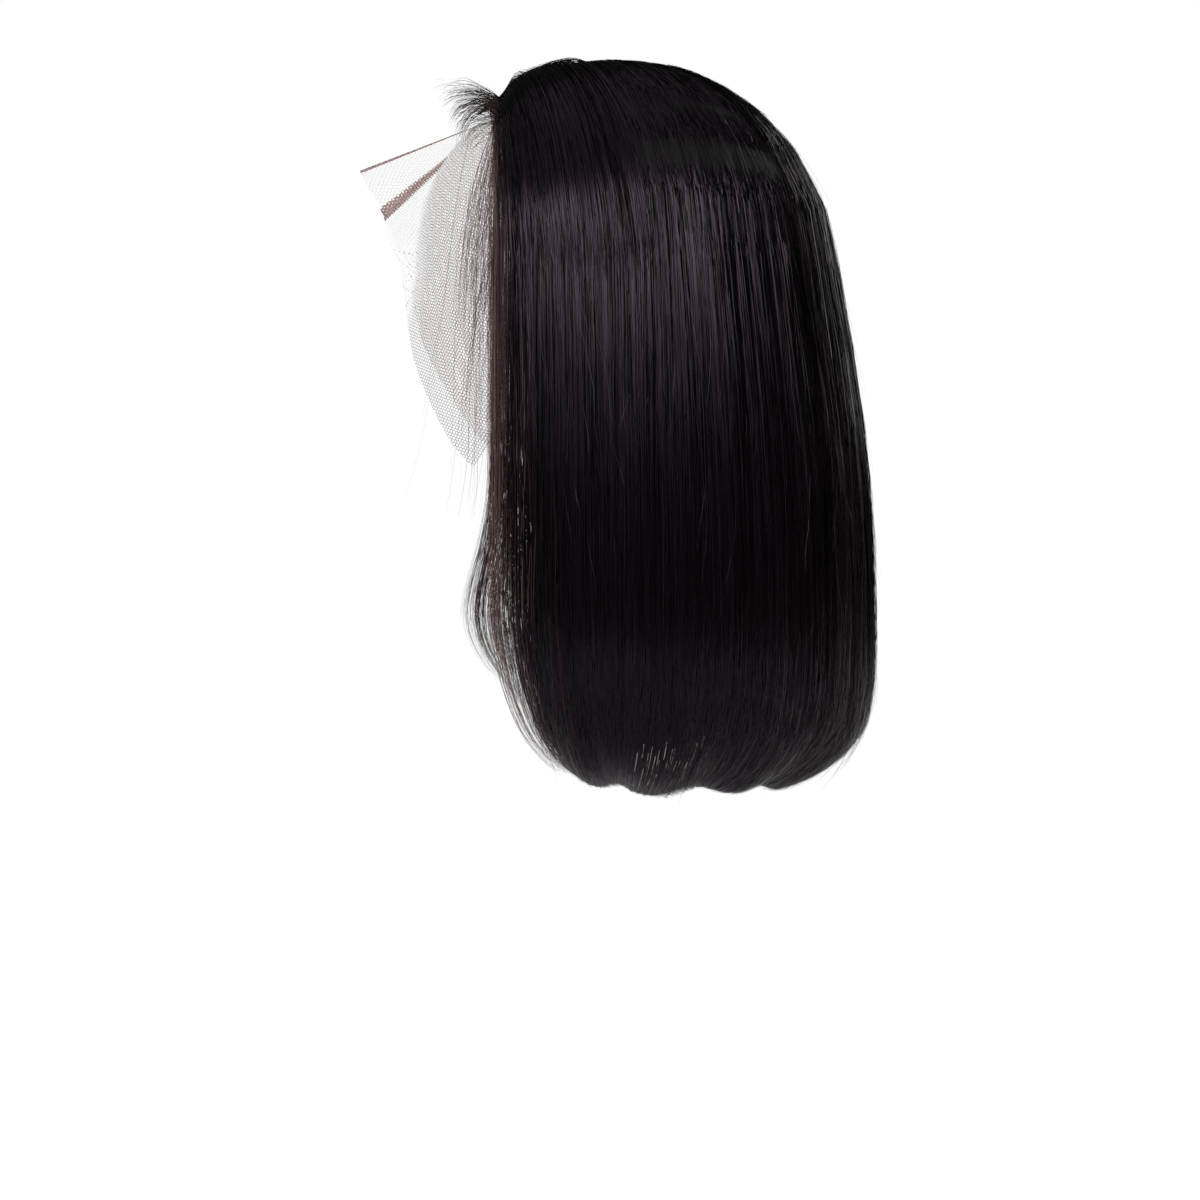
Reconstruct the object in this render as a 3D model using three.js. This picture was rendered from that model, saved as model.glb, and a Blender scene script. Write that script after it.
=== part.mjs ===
// A lace front bob wig: shoulder-length straight hair, parted in the middle, its ends turned under.
// Millimetres, +Z up. The wearer faces -Y and +X is the wearer's left.
// The origin is the top of the head, where the seam of the lace and the cap crosses the crown.
import * as THREE from "three";

// The head that the wig is made for.
const headHalfWidth = 77;
const headFront = 106;
const headBack = 93;
const headCrown = 98; // from the widest level up to the top
const headSquareness = 2.3; // 2 is an ellipsoid, more is squarer

// The cap and the lace.
const capWall = 1.5;
const laceWall = 1;
const seamGap = 0.3;
const capEarDrop = 106; // from the top of the head to the rim over the ear
const capNapeDrop = 142;
const hairlineDrop = 16; // to the hairline at the middle of the forehead
const veilTaper = 0.08; // how far the lace closes in under the cheekbones, as a share of its width
const veilDrop = 196; // to the lowest point of the untrimmed lace, beside the jaw
const veilLift = 5; // how far the lace stands off the brow at its lower edge, in the middle
const pleatHalfTurn = THREE.MathUtils.degToRad(12); // the stretch of lace that stands out in a pleat
const pleatReach = 135; // how far the pleat's tip stands forward of the crown
const pleatDrop = 47; // and how far it lies below it
const pleatHalfWidth = 12;

// The hair.
const seatGap = 0.8; // between the hair and the cap, enough for the flat facets of both
const crownVolume = 15.8; // hair over the top of the head
const sideVolume = 11; // hair over the ears
const backVolume = 21.5; // hair behind the head
const browVolume = 12; // hair ahead of the head, if it went all the way round
const hairMiddle = -4; // the middle of the hair's plan, against the crown
const hairSquareness = 1.95;
const hairHalfWidth = 101; // at the widest, above the shoulders
const hairBack = 134;
const hairDrop = 364; // from the top of the head to the tips
const hairFront = 75; // how far the left front edge hangs ahead of the crown
const hairFrontRight = 51; // and the right one, which is brushed back
const sideWall = 13;
const backWall = 25;
const partFront = 61; // the parting runs from this far ahead of the crown
const partBack = 12; // to this far behind it
const partHalfGap = 1;
const crownRing = 3; // how far the hair opens behind the parting's end
const panelTurn = THREE.MathUtils.degToRad(48); // where the side hair meets the back hair
const panelGap = 0.005; // radians
const locksPerPanel = 8;
const grooveDepth = 0.2; // of the wall, between two locks
const frontThinning = 0.7; // of the wall, at the front edges
const frontThinningLocks = 1.3;
const partThinning = 0.2; // of the wall, at the parting
const partThinningShare = 0.45;
const hemStep = 7; // between a long lock and a short one
const hemNotch = 4; // between a lock's middle and its sides
const hemRhythm = 2.4; // radians from one lock to the next, in the wave that their lengths follow
const hemPhase = 0.8;
const hemFrontLift = 8; // how much shorter the front locks are

// How finely the pieces are divided.
const capRows = 9;
const capColumns = 26;
const scalpRows = 5; // of the lace, from the crown to the hairline
const veilRows = 12; // and from there to its edge
const veilWidestRow = 0.55; // the share of those that lie above the widest level
const flatColumns = 17; // of the lace, on both sides of the pleat together
const pleatColumns = 10;
const hairOverRows = 8; // from the parting to the widest level
const samplesPerLock = 3;

const fullTurn = 2 * Math.PI;
const quarterTurn = Math.PI / 2;

// How the hair falls below the widest level of the head. drop is a share of the length from there down.
// swell goes from the size at that level to the full size, the tucks draw the ends in, wall thins them.
// tuckFront is for the left front edge and tuckRight for the right one, which swings out before it curls.
const fallRows = [
  { drop: 0.09, swell: 0.24, tuckSide: 0, tuckBack: 0, tuckFront: 0, tuckRight: 0, wall: 1 },
  { drop: 0.19, swell: 0.5, tuckSide: 0, tuckBack: 0, tuckFront: 0, tuckRight: 0, wall: 1 },
  { drop: 0.3, swell: 0.71, tuckSide: 0, tuckBack: 0, tuckFront: 0, tuckRight: 0, wall: 1 },
  { drop: 0.42, swell: 0.87, tuckSide: 0, tuckBack: 0, tuckFront: 0, tuckRight: 0, wall: 1 },
  { drop: 0.54, swell: 0.96, tuckSide: 0, tuckBack: 0, tuckFront: 0, tuckRight: -0.1, wall: 1 },
  { drop: 0.65, swell: 1, tuckSide: 0, tuckBack: 0, tuckFront: 0, tuckRight: -0.27, wall: 1 },
  { drop: 0.73, swell: 1, tuckSide: 0.005, tuckBack: 0, tuckFront: 0.02, tuckRight: -0.25, wall: 0.95 },
  { drop: 0.8, swell: 1, tuckSide: 0.03, tuckBack: 0.014, tuckFront: 0.075, tuckRight: -0.02, wall: 0.85 },
  { drop: 0.86, swell: 1, tuckSide: 0.075, tuckBack: 0.045, tuckFront: 0.155, tuckRight: 0.26, wall: 0.72 },
  { drop: 0.91, swell: 1, tuckSide: 0.14, tuckBack: 0.09, tuckFront: 0.23, tuckRight: 0.4, wall: 0.6 },
  { drop: 0.95, swell: 1, tuckSide: 0.22, tuckBack: 0.16, tuckFront: 0.32, tuckRight: 0.52, wall: 0.48 },
  { drop: 0.98, swell: 1, tuckSide: 0.32, tuckBack: 0.26, tuckFront: 0.46, tuckRight: 0.64, wall: 0.38 },
  { drop: 1, swell: 1, tuckSide: 0.42, tuckBack: 0.37, tuckFront: 0.6, tuckRight: 0.76, wall: 0.3 },
];

// The lower edge of the untrimmed lace. turn goes from the ear to the middle of the face,
// and drop is a share of the way from the widest level of the head to the lowest point of the lace.
const veilEdge = [
  { turn: 0, drop: 0.08 },
  { turn: 0.22, drop: 0.66 },
  { turn: 0.42, drop: 1 },
  { turn: 0.52, drop: 0.87 },
  { turn: 0.64, drop: 0.66 },
  { turn: 0.78, drop: 0.42 },
  { turn: 0.9, drop: 0.17 },
  { turn: 1, drop: 0.03 },
];

// The free edge of the pleat. turn goes from the pleat's ridge to where the lace lies on the brow.
// leave is how far down the brow the lace stays on the head. The rest are shares of the pleat's sizes.
const pleatEdge = [
  { turn: 0, leave: 0.07, half: 0, reach: 1, drop: 1 },
  { turn: 0.2, leave: 0.12, half: 0.2, reach: 0.96, drop: 1.22 },
  { turn: 0.4, leave: 0.22, half: 0.45, reach: 0.906, drop: 1.46 },
  { turn: 0.7, leave: 0.5, half: 0.8, reach: 0.875, drop: 1.8 },
  { turn: 1, leave: 1, half: 1.4, reach: 0.8, drop: 2.1 },
];

// A value between the rows of a table, straight from one row to the next.
function between(rows, key, at, column) {
  const next = rows.findIndex((row) => row[key] >= at);
  if (next === 0) return rows[0][column];
  if (next < 0) return rows[rows.length - 1][column];
  const share = (at - rows[next - 1][key]) / (rows[next][key] - rows[next - 1][key]);
  return THREE.MathUtils.lerp(rows[next - 1][column], rows[next][column], share);
}

// Cosine and sine of an angle on a superellipse, with their signs kept.
function rounded(angle, squareness) {
  const power = 2 / squareness;
  const cosine = Math.sign(Math.cos(angle)) * Math.abs(Math.cos(angle)) ** power;
  const sine = Math.sign(Math.sin(angle)) * Math.abs(Math.sin(angle)) ** power;
  return { cosine, sine };
}

// A head form grown by a distance. front and back are its reach along -Y and +Y from its middle.
function grownHead(distance) {
  return {
    middle: 0,
    width: headHalfWidth + distance,
    front: headFront + distance,
    back: headBack + distance,
    crown: headCrown + distance,
    squareness: headSquareness,
  };
}

// The point of a form at a turn round it and a latitude, 0 at its top and a quarter turn at its widest.
function formPoint(form, turn, latitude) {
  const plan = rounded(turn, form.squareness);
  const rise = rounded(latitude, form.squareness);
  const reach = plan.sine < 0 ? form.front : form.back;
  const x = form.width * plan.cosine * rise.sine;
  const y = form.middle + reach * plan.sine * rise.sine;
  return new THREE.Vector3(x, y, form.crown * rise.cosine - headCrown);
}

// The height of a form over a place in the plan.
function formHeight(form, x, y) {
  const ahead = y - form.middle;
  const reach = ahead < 0 ? form.front : form.back;
  const used = Math.abs(x / form.width) ** form.squareness + Math.abs(ahead / reach) ** form.squareness;
  return form.crown * Math.max(0, 1 - used) ** (1 / form.squareness) - headCrown;
}

// The latitude at which the head lies a given drop below its top.
function latitudeAt(drop) {
  const rise = 1 - drop / headCrown;
  return Math.acos(Math.sign(rise) * Math.abs(rise) ** (headSquareness / 2));
}

// A closed solid between two grids of points, given row by row. Triangles with no area are left out.
function shell(outer, inner) {
  const positions = [];
  const triangle = (a, b, c) => {
    if (a.equals(b) || b.equals(c) || c.equals(a)) return;
    positions.push(...a.toArray(), ...b.toArray(), ...c.toArray());
  };
  const quad = (a, b, c, d) => {
    triangle(a, b, c);
    triangle(a, c, d);
  };
  const lastRow = outer.length - 1;
  const lastColumn = outer[0].length - 1;
  for (let i = 0; i < lastRow; i += 1) {
    for (let j = 0; j < lastColumn; j += 1) {
      quad(outer[i][j], outer[i + 1][j], outer[i + 1][j + 1], outer[i][j + 1]);
      quad(inner[i][j], inner[i][j + 1], inner[i + 1][j + 1], inner[i + 1][j]);
    }
    quad(outer[i][0], inner[i][0], inner[i + 1][0], outer[i + 1][0]);
    quad(outer[i][lastColumn], outer[i + 1][lastColumn], inner[i + 1][lastColumn], inner[i][lastColumn]);
  }
  for (let j = 0; j < lastColumn; j += 1) {
    quad(outer[0][j], outer[0][j + 1], inner[0][j + 1], inner[0][j]);
    quad(outer[lastRow][j], inner[lastRow][j], inner[lastRow][j + 1], outer[lastRow][j + 1]);
  }
  const geometry = new THREE.BufferGeometry();
  geometry.setAttribute("position", new THREE.Float32BufferAttribute(positions, 3));
  geometry.computeVertexNormals();
  return geometry;
}

// Rows and columns of points from a function of two shares, each from 0 to 1.
function grid(rows, columns, point) {
  const row = (i) => Array.from({ length: columns + 1 }, (_, j) => point(i / rows, j / columns, i, j));
  return Array.from({ length: rows + 1 }, (_, i) => row(i));
}

// A grid moved along its own normals, which point to the outside of a left-to-right, top-to-bottom grid.
function offsetGrid(points, distance) {
  const lastRow = points.length - 1;
  const lastColumn = points[0].length - 1;
  return points.map((row, i) =>
    row.map((point, j) => {
      const down = points[Math.min(i + 1, lastRow)][j].clone().sub(points[Math.max(i - 1, 0)][j]);
      const across = row[Math.min(j + 1, lastColumn)].clone().sub(row[Math.max(j - 1, 0)]);
      const normal = down.cross(across);
      if (normal.length() < 1e-9) normal.set(0, 0, 1);
      return point.clone().addScaledVector(normal.normalize(), distance);
    }),
  );
}

// The cap, a stretch net over the back half of the head, from ear to ear and down to the nape.
function capGeometry() {
  const surface = (distance) =>
    grid(capRows, capColumns, (down, across) => {
      const turn = across * Math.PI;
      const rim = THREE.MathUtils.lerp(capEarDrop, capNapeDrop, Math.sin(turn) ** 2);
      const point = formPoint(grownHead(distance), turn, down * latitudeAt(rim));
      point.y += seamGap / 2;
      return point;
    });
  return shell(surface(capWall), surface(0));
}

// A point of the lace that lies on the head or hangs from the cheekbones.
// down goes from the hairline to the lace's edge, which lies edgeDrop below the widest level.
function veilPoint(turn, latitude, edgeDrop, down) {
  if (down < veilWidestRow) {
    const along = down / veilWidestRow;
    return formPoint(grownHead(0), turn, THREE.MathUtils.lerp(latitude, quarterTurn, along));
  }
  const hang = (down - veilWidestRow) / (1 - veilWidestRow);
  const point = formPoint(grownHead(0), turn, quarterTurn);
  const closeIn = 1 - veilTaper * ((hang * edgeDrop) / (veilDrop - headCrown)) ** 2;
  const lift = veilLift * hang * Math.max(0, -Math.sin(turn)) ** 4;
  return new THREE.Vector3(point.x * closeIn, point.y - lift, -headCrown - hang * edgeDrop);
}

// The lace front: the sheer net that the front hair is tied to, left untrimmed ahead of the hairline.
// It covers the forehead, the temples and the cheeks, and stands out in one pleat over the brow.
function laceGeometry() {
  const hairline = latitudeAt(hairlineDrop);
  const flatStep = (quarterTurn - pleatHalfTurn) / flatColumns;
  const pleatStep = (2 * pleatHalfTurn) / pleatColumns;
  const turnAt = (column) => {
    const inPleat = THREE.MathUtils.clamp(column - flatColumns, 0, pleatColumns);
    return Math.PI + (column - inPleat) * flatStep + inPleat * pleatStep;
  };
  const base = grid(scalpRows + veilRows, 2 * flatColumns + pleatColumns, (_, across, row, column) => {
    const turn = turnAt(column);
    const toFace = 1 - Math.abs(turn - 3 * quarterTurn) / quarterTurn;
    const scalp = Math.min(row / scalpRows, 1);
    const down = Math.max(0, (row - scalpRows) / veilRows);
    const edgeDrop = between(veilEdge, "turn", toFace, "drop") * (veilDrop - headCrown);
    const lying = down > 0 ? veilPoint(turn, hairline, edgeDrop, down)
      : formPoint(grownHead(0), turn, scalp * hairline);
    const pleat = Math.abs(turn - 3 * quarterTurn) / pleatHalfTurn;
    const leave = between(pleatEdge, "turn", pleat, "leave");
    if (down > leave && pleat < 1) {
      const side = Math.sign(across - 0.5);
      const start = veilPoint(turn, hairline, edgeDrop, leave);
      const tip = new THREE.Vector3(
        side * pleatHalfWidth * between(pleatEdge, "turn", pleat, "half"),
        -pleatReach * between(pleatEdge, "turn", pleat, "reach"),
        -pleatDrop * between(pleatEdge, "turn", pleat, "drop"),
      );
      lying.copy(start.lerp(tip, (down - leave) / (1 - leave)));
    }
    lying.y -= seamGap / 2;
    return lying;
  });
  return shell(offsetGrid(base, laceWall), base);
}

// The outside of the hair over the head, and its inside, which lies on the cap.
const hairForm = {
  middle: hairMiddle,
  width: headHalfWidth + sideVolume,
  front: headFront + browVolume + hairMiddle,
  back: headBack + backVolume - hairMiddle,
  crown: headCrown + crownVolume,
  squareness: hairSquareness,
};
const hairLining = grownHead(capWall + seatGap);

// The turn at which the front edge of a side hangs so far ahead of the crown.
function frontTurnAt(ahead) {
  return -Math.asin(((ahead + hairMiddle) / hairForm.front) ** (hairSquareness / 2));
}

// The front edges of the two sides.
const leftFront = { turn: frontTurnAt(hairFront), tuck: "tuckFront" };
const rightFront = { turn: frontTurnAt(hairFrontRight), tuck: "tuckRight" };

// The section of the hair at a row of its fall, as a form to take points from.
function fallSection(form, row, wall, tuckFront) {
  const thinned = 1 - row.wall;
  const width = THREE.MathUtils.lerp(form.width, hairHalfWidth - wall.side, row.swell);
  const back = THREE.MathUtils.lerp(form.back + form.middle, hairBack - wall.back, row.swell) - form.middle;
  return {
    width: width - (hairHalfWidth - wall.side * thinned) * row.tuckSide + wall.side * thinned,
    back: back - (hairBack - wall.back * thinned) * row.tuckBack + wall.back * thinned,
    front: form.front * (1 - tuckFront),
    squareness: form.squareness,
  };
}

// Where a lock's tip lies above or below the mean hem.
function hemLift(turn, front, lock) {
  const spread = Math.sin(lock * hemRhythm + hemPhase) / 2;
  const middle = Math.sin(Math.PI * (lock - Math.floor(lock)));
  const ahead = Math.max(0, Math.sin(-turn)) / Math.sin(-front.turn);
  return hemStep * spread + hemNotch * (1 - middle) + hemFrontLift * ahead;
}

// How full the wall is at a place, against its whole thickness. fromFront counts locks from a front edge.
function wallShare(row, lock, fromFront) {
  const over = row.over ?? 1;
  const edge = 1 - frontThinning * Math.max(0, 1 - fromFront / frontThinningLocks) ** 2;
  const part = 1 - partThinning * Math.max(0, 1 - over / partThinningShare) ** 2;
  const groove = 1 - ((grooveDepth * (1 + 2 * Math.cos(fullTurn * lock))) / 3) * over;
  return edge * part * groove;
}

// One point of the hair. A turn runs from the front edge of one side, round the back, to the other one.
function hairPoint(form, wall, turn, root, row, tuckFront) {
  if (row.over !== undefined) {
    const widest = formPoint(form, turn, quarterTurn);
    const spread = Math.sin(row.over * quarterTurn);
    const x = THREE.MathUtils.lerp(root.x, widest.x, spread);
    const y = THREE.MathUtils.lerp(root.y, widest.y, spread);
    return new THREE.Vector3(x, y, formHeight(form, x, y));
  }
  const section = fallSection(form, row, wall, tuckFront);
  const plan = rounded(turn, section.squareness);
  const reach = plan.sine < 0 ? section.front : section.back;
  const drop = (hairDrop - headCrown) * row.drop - row.lift * row.drop ** 3;
  return new THREE.Vector3(section.width * plan.cosine, form.middle + reach * plan.sine, -headCrown - drop);
}

// A panel of hair between two turns, fused from locks side by side over one wall.
// rootAt gives the place in the plan where the hair of a column leaves the parting or the crown.
function hairGeometry({ fromTurn, toTurn, rootAt, firstLock, front, atFront }) {
  const overRow = (_, i) => ({ over: i / hairOverRows, drop: 0, wall: 1 });
  const rows = [...Array.from({ length: hairOverRows + 1 }, overRow), ...fallRows];
  const columns = locksPerPanel * samplesPerLock;
  const inner = [];
  const outer = [];
  for (const row of rows) {
    const insideRow = [];
    const outsideRow = [];
    for (let j = 0; j <= columns; j += 1) {
      const across = j / columns;
      const turn = THREE.MathUtils.lerp(fromTurn, toTurn, across);
      const lock = firstLock + across * locksPerPanel;
      const folded = turn > quarterTurn ? Math.PI - turn : turn;
      const placed = { ...row, lift: hemLift(folded, front, lock) };
      const root = rootAt(across);
      const tuck = row[front.tuck] ?? 0;
      const inside = hairPoint(hairLining, { side: sideWall, back: backWall }, turn, root, placed, tuck);
      const outside = hairPoint(hairForm, { side: 0, back: 0 }, turn, root, placed, tuck);
      const share = wallShare(row, lock, atFront ? across * locksPerPanel : Infinity);
      insideRow.push(inside);
      outsideRow.push(inside.clone().lerp(outside, share));
    }
    inner.push(insideRow);
    outer.push(outsideRow);
  }
  return shell(outer, inner);
}

// The hair of one side, from the parting to where it meets the back hair.
function sideHairGeometry(firstLock, front) {
  const rootAt = (across) => ({ x: partHalfGap, y: THREE.MathUtils.lerp(-partFront, partBack, across) });
  const toTurn = panelTurn - panelGap / 2;
  return hairGeometry({ fromTurn: front.turn, toTurn, rootAt, firstLock, front, atFront: true });
}

// The back hair, which falls from the crown.
function backHairGeometry(firstLock) {
  const rootAt = (across) => ({
    x: partHalfGap * Math.cos(across * Math.PI),
    y: partBack + seamGap + crownRing * Math.sin(across * Math.PI),
  });
  const fromTurn = panelTurn + panelGap / 2;
  const toTurn = Math.PI - fromTurn;
  return hairGeometry({ fromTurn, toTurn, rootAt, firstLock, front: leftFront, atFront: false });
}

// The same solid on the other side of the head.
function mirrored(geometry) {
  const turned = geometry.clone().scale(-1, 1, 1);
  const position = turned.getAttribute("position");
  for (let i = 0; i < position.count; i += 3) {
    const second = new THREE.Vector3().fromBufferAttribute(position, i + 1);
    const third = new THREE.Vector3().fromBufferAttribute(position, i + 2);
    position.setXYZ(i + 1, ...third.toArray());
    position.setXYZ(i + 2, ...second.toArray());
  }
  turned.computeVertexNormals();
  return turned;
}

const hairMaterial = new THREE.MeshStandardMaterial({ color: 0x181013, roughness: 0.38, metalness: 0 });
const capMaterial = new THREE.MeshStandardMaterial({ color: 0x1a1416, roughness: 0.85, metalness: 0 });
const laceMaterial = new THREE.MeshStandardMaterial({ color: 0x9c8278, roughness: 0.7, metalness: 0 });

const wig = new THREE.Group();

function addPiece(name, geometry, material) {
  const mesh = new THREE.Mesh(geometry, material);
  mesh.name = name;
  wig.add(mesh);
}

addPiece("cap", capGeometry(), capMaterial);
addPiece("lace_front", laceGeometry(), laceMaterial);
addPiece("hair_left", sideHairGeometry(0, leftFront), hairMaterial);
addPiece("hair_right", mirrored(sideHairGeometry(2 * locksPerPanel, rightFront)), hairMaterial);
addPiece("hair_back", backHairGeometry(locksPerPanel), hairMaterial);

export default wig;
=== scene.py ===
"""A lace front bob wig with bare strands, a sheer net front and a net cap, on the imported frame."""

import logging
import math
from collections.abc import Mapping
from dataclasses import dataclass, field, replace
from enum import Enum

import bpy
import numpy as np
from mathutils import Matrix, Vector


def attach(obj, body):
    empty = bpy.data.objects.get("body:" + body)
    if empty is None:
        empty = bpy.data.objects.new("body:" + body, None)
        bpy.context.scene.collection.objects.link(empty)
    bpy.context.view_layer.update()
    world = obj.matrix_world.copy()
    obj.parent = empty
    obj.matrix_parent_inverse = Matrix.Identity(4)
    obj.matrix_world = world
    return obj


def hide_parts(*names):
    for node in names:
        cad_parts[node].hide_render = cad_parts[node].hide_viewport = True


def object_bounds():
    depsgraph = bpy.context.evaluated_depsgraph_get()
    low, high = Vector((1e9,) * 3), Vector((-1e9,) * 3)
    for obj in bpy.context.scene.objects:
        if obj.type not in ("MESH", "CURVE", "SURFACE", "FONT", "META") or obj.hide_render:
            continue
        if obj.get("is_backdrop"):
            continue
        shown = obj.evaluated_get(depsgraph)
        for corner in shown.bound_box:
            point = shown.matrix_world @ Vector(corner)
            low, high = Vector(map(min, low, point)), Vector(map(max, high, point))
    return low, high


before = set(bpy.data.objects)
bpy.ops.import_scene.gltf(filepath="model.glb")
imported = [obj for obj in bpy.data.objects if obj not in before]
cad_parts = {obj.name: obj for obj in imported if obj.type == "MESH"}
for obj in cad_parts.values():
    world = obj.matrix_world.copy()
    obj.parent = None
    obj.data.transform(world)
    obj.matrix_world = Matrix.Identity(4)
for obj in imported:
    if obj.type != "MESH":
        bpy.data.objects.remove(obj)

LOG = logging.getLogger("bob_wig")
MM = 0.001
UV_NAME = "OFBake"

Socket = bpy.types.NodeSocket
Points = np.ndarray


# Nodes


class Scalar:
    """A number in a node tree, which Python's own operators turn into Math nodes."""

    def __init__(self, tree: "Tree", socket: Socket) -> None:
        """Wraps a socket.

        Args:
            tree: The tree that the socket is in.
            socket: An output socket that carries a number.
        """
        self.tree = tree
        self.socket = socket

    def math(self, operation: str, *others: "Scalar | float", clamp: bool = False) -> "Scalar":
        """Adds one Math node.

        Args:
            operation: The node's operation.
            *others: Its second and third values.
            clamp: Whether the result is held between 0 and 1.

        Returns:
            The node's result.
        """
        values = {i: value for i, value in enumerate((self, *others))}
        settings = {"operation": operation, "use_clamp": clamp}
        return Scalar(self.tree, self.tree.node("ShaderNodeMath", settings, values).outputs[0])

    def __add__(self, other: "Scalar | float") -> "Scalar":
        """Returns the sum."""
        return self.math("ADD", other)

    __radd__ = __add__

    def __sub__(self, other: "Scalar | float") -> "Scalar":
        """Returns the difference."""
        return self.math("SUBTRACT", other)

    def __rsub__(self, other: float) -> "Scalar":
        """Returns a number less this one."""
        return (self * -1.0) + other

    def __mul__(self, other: "Scalar | float") -> "Scalar":
        """Returns the product."""
        return self.math("MULTIPLY", other)

    __rmul__ = __mul__

    def __truediv__(self, other: "Scalar | float") -> "Scalar":
        """Returns the quotient."""
        return self.math("DIVIDE", other)

    def __pow__(self, other: "Scalar | float") -> "Scalar":
        """Returns the power."""
        return self.math("POWER", other)

    def __abs__(self) -> "Scalar":
        """Returns the size without its sign."""
        return self.math("ABSOLUTE")

    def wrapped(self, length: float) -> "Scalar":
        """Returns the value wrapped to 0 and a length."""
        return self.math("WRAP", length, 0.0)

    def at_most(self, other: "Scalar | float") -> "Scalar":
        """Returns the smaller of two values."""
        return self.math("MINIMUM", other)

    def at_least(self, other: "Scalar | float") -> "Scalar":
        """Returns the larger of two values."""
        return self.math("MAXIMUM", other)

    def below(self, other: "Scalar | float") -> "Scalar":
        """Returns 1 where this value is the smaller, else 0."""
        return self.math("LESS_THAN", other)

    def toward(self, other: "Scalar | float", share: "Scalar | float") -> "Scalar":
        """Returns the value moved to another by a share."""
        return self + (Scalar.of(self.tree, other) - self) * share

    def ramp(self, low: float, high: float) -> "Scalar":
        """Returns a smooth step from 0 at low to 1 at high."""
        settings = {"interpolation_type": "SMOOTHSTEP"}
        values = {"Value": self, "From Min": low, "From Max": high}
        return Scalar(self.tree, self.tree.node("ShaderNodeMapRange", settings, values).outputs[0])

    @staticmethod
    def of(tree: "Tree", value: "Scalar | float") -> "Scalar":
        """Returns a value as a Scalar, from a constant where it is a number."""
        if isinstance(value, Scalar):
            return value
        node = tree.node("ShaderNodeMath", {"operation": "ADD"}, {0: float(value), 1: 0.0})
        return Scalar(tree, node.outputs[0])


class Tree:
    """Adds nodes to a shader tree or a geometry tree."""

    def __init__(self, nodes: bpy.types.NodeTree) -> None:
        """Starts from an empty tree.

        Args:
            nodes: The tree that the nodes go in.
        """
        self.nodes = nodes

    def node(
        self,
        kind: str,
        settings: Mapping[str, object] | None = None,
        values: Mapping[int | str, object] | None = None,
    ) -> bpy.types.Node:
        """Adds one node, with its settings first and its sockets after them.

        Args:
            kind: The node's type.
            settings: Its properties, by name.
            values: What its input sockets take, by name or place: a number, a vector, a Scalar or a socket.

        Returns:
            The node.
        """
        node = self.nodes.nodes.new(kind)
        for name, value in (settings or {}).items():
            setattr(node, name, value)
        self.feed(node, values or {})
        return node

    def feed(self, node: bpy.types.Node, values: Mapping[int | str, object]) -> None:
        """Sets or links a node's input sockets.

        Args:
            node: The node.
            values: What its sockets take, by name or place: a number, a vector, a Scalar or a socket.
        """
        for key, value in values.items():
            enabled = [s for s in node.inputs if s.enabled]
            socket = node.inputs[key] if isinstance(key, int) else next(s for s in enabled if s.name == key)
            if isinstance(value, Scalar):
                value = value.socket
            if isinstance(value, bpy.types.NodeSocket):
                self.nodes.links.new(value, socket)
            else:
                socket.default_value = value

    def scalar(self, kind: str, settings: Mapping[str, object] | None = None,
               values: Mapping[int | str, object] | None = None, out: int | str = 0) -> Scalar:
        """Adds a node and returns one of its outputs as a number.

        Args:
            kind: The node's type.
            settings: Its properties.
            values: Its inputs.
            out: The output's place or name.

        Returns:
            The output.
        """
        node = self.node(kind, settings, values)
        enabled = [s for s in node.outputs if s.enabled]
        socket = enabled[out] if isinstance(out, int) else next(s for s in enabled if s.name == out)
        return Scalar(self, socket)

    def vector(self, x: Scalar | float, y: Scalar | float, z: Scalar | float = 0.0) -> Socket:
        """Returns a vector made of three numbers."""
        return self.node("ShaderNodeCombineXYZ", None, {0: x, 1: y, 2: z}).outputs[0]

    def noise(self, vector: Socket, scale: float = 1.0, detail: float = 2.0) -> Scalar:
        """Returns a noise from 0 to 1 over a vector."""
        values = {"Vector": vector, "Scale": scale, "Detail": detail}
        return self.scalar("ShaderNodeTexNoise", {"noise_dimensions": "3D"}, values)

    def moved(self, start: Socket, along: Socket, by: Scalar | float) -> Socket:
        """Returns a vector moved along another one, times a number."""
        scaled = self.node("ShaderNodeVectorMath", {"operation": "SCALE"}, {"Vector": along, "Scale": by})
        added = self.node("ShaderNodeVectorMath", {"operation": "ADD"}, {0: start, 1: scaled.outputs[0]})
        return added.outputs[0]

    def blend(self, low: tuple[float, ...], high: tuple[float, ...], share: Scalar) -> Socket:
        """Returns a colour between two colours."""
        values = {"Factor": share, "A": (*low, 1.0), "B": (*high, 1.0)}
        return self.node("ShaderNodeMix", {"data_type": "RGBA"}, values).outputs["Result"]


# Finishes


def shader_tree(name: str) -> tuple[bpy.types.Material, Tree, bpy.types.Node]:
    """Makes a material with one Principled BSDF.

    Args:
        name: The material's name.

    Returns:
        The material, its tree and the shader node.
    """
    material = bpy.data.materials.new(name)
    material.use_nodes = True
    material.node_tree.nodes.clear()
    tree = Tree(material.node_tree)
    shader = tree.node("ShaderNodeBsdfPrincipled")
    tree.node("ShaderNodeOutputMaterial", None, {"Surface": shader.outputs[0]})
    return material, tree, shader


def own_uv(tree: Tree) -> tuple[Scalar, Scalar]:
    """Returns the two coordinates of the piece's own UV map."""
    uv = tree.node("ShaderNodeUVMap", {"uv_map": UV_NAME}).outputs[0]
    parts = tree.node("ShaderNodeSeparateXYZ", None, {0: uv})
    return Scalar(tree, parts.outputs[0]), Scalar(tree, parts.outputs[1])


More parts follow.
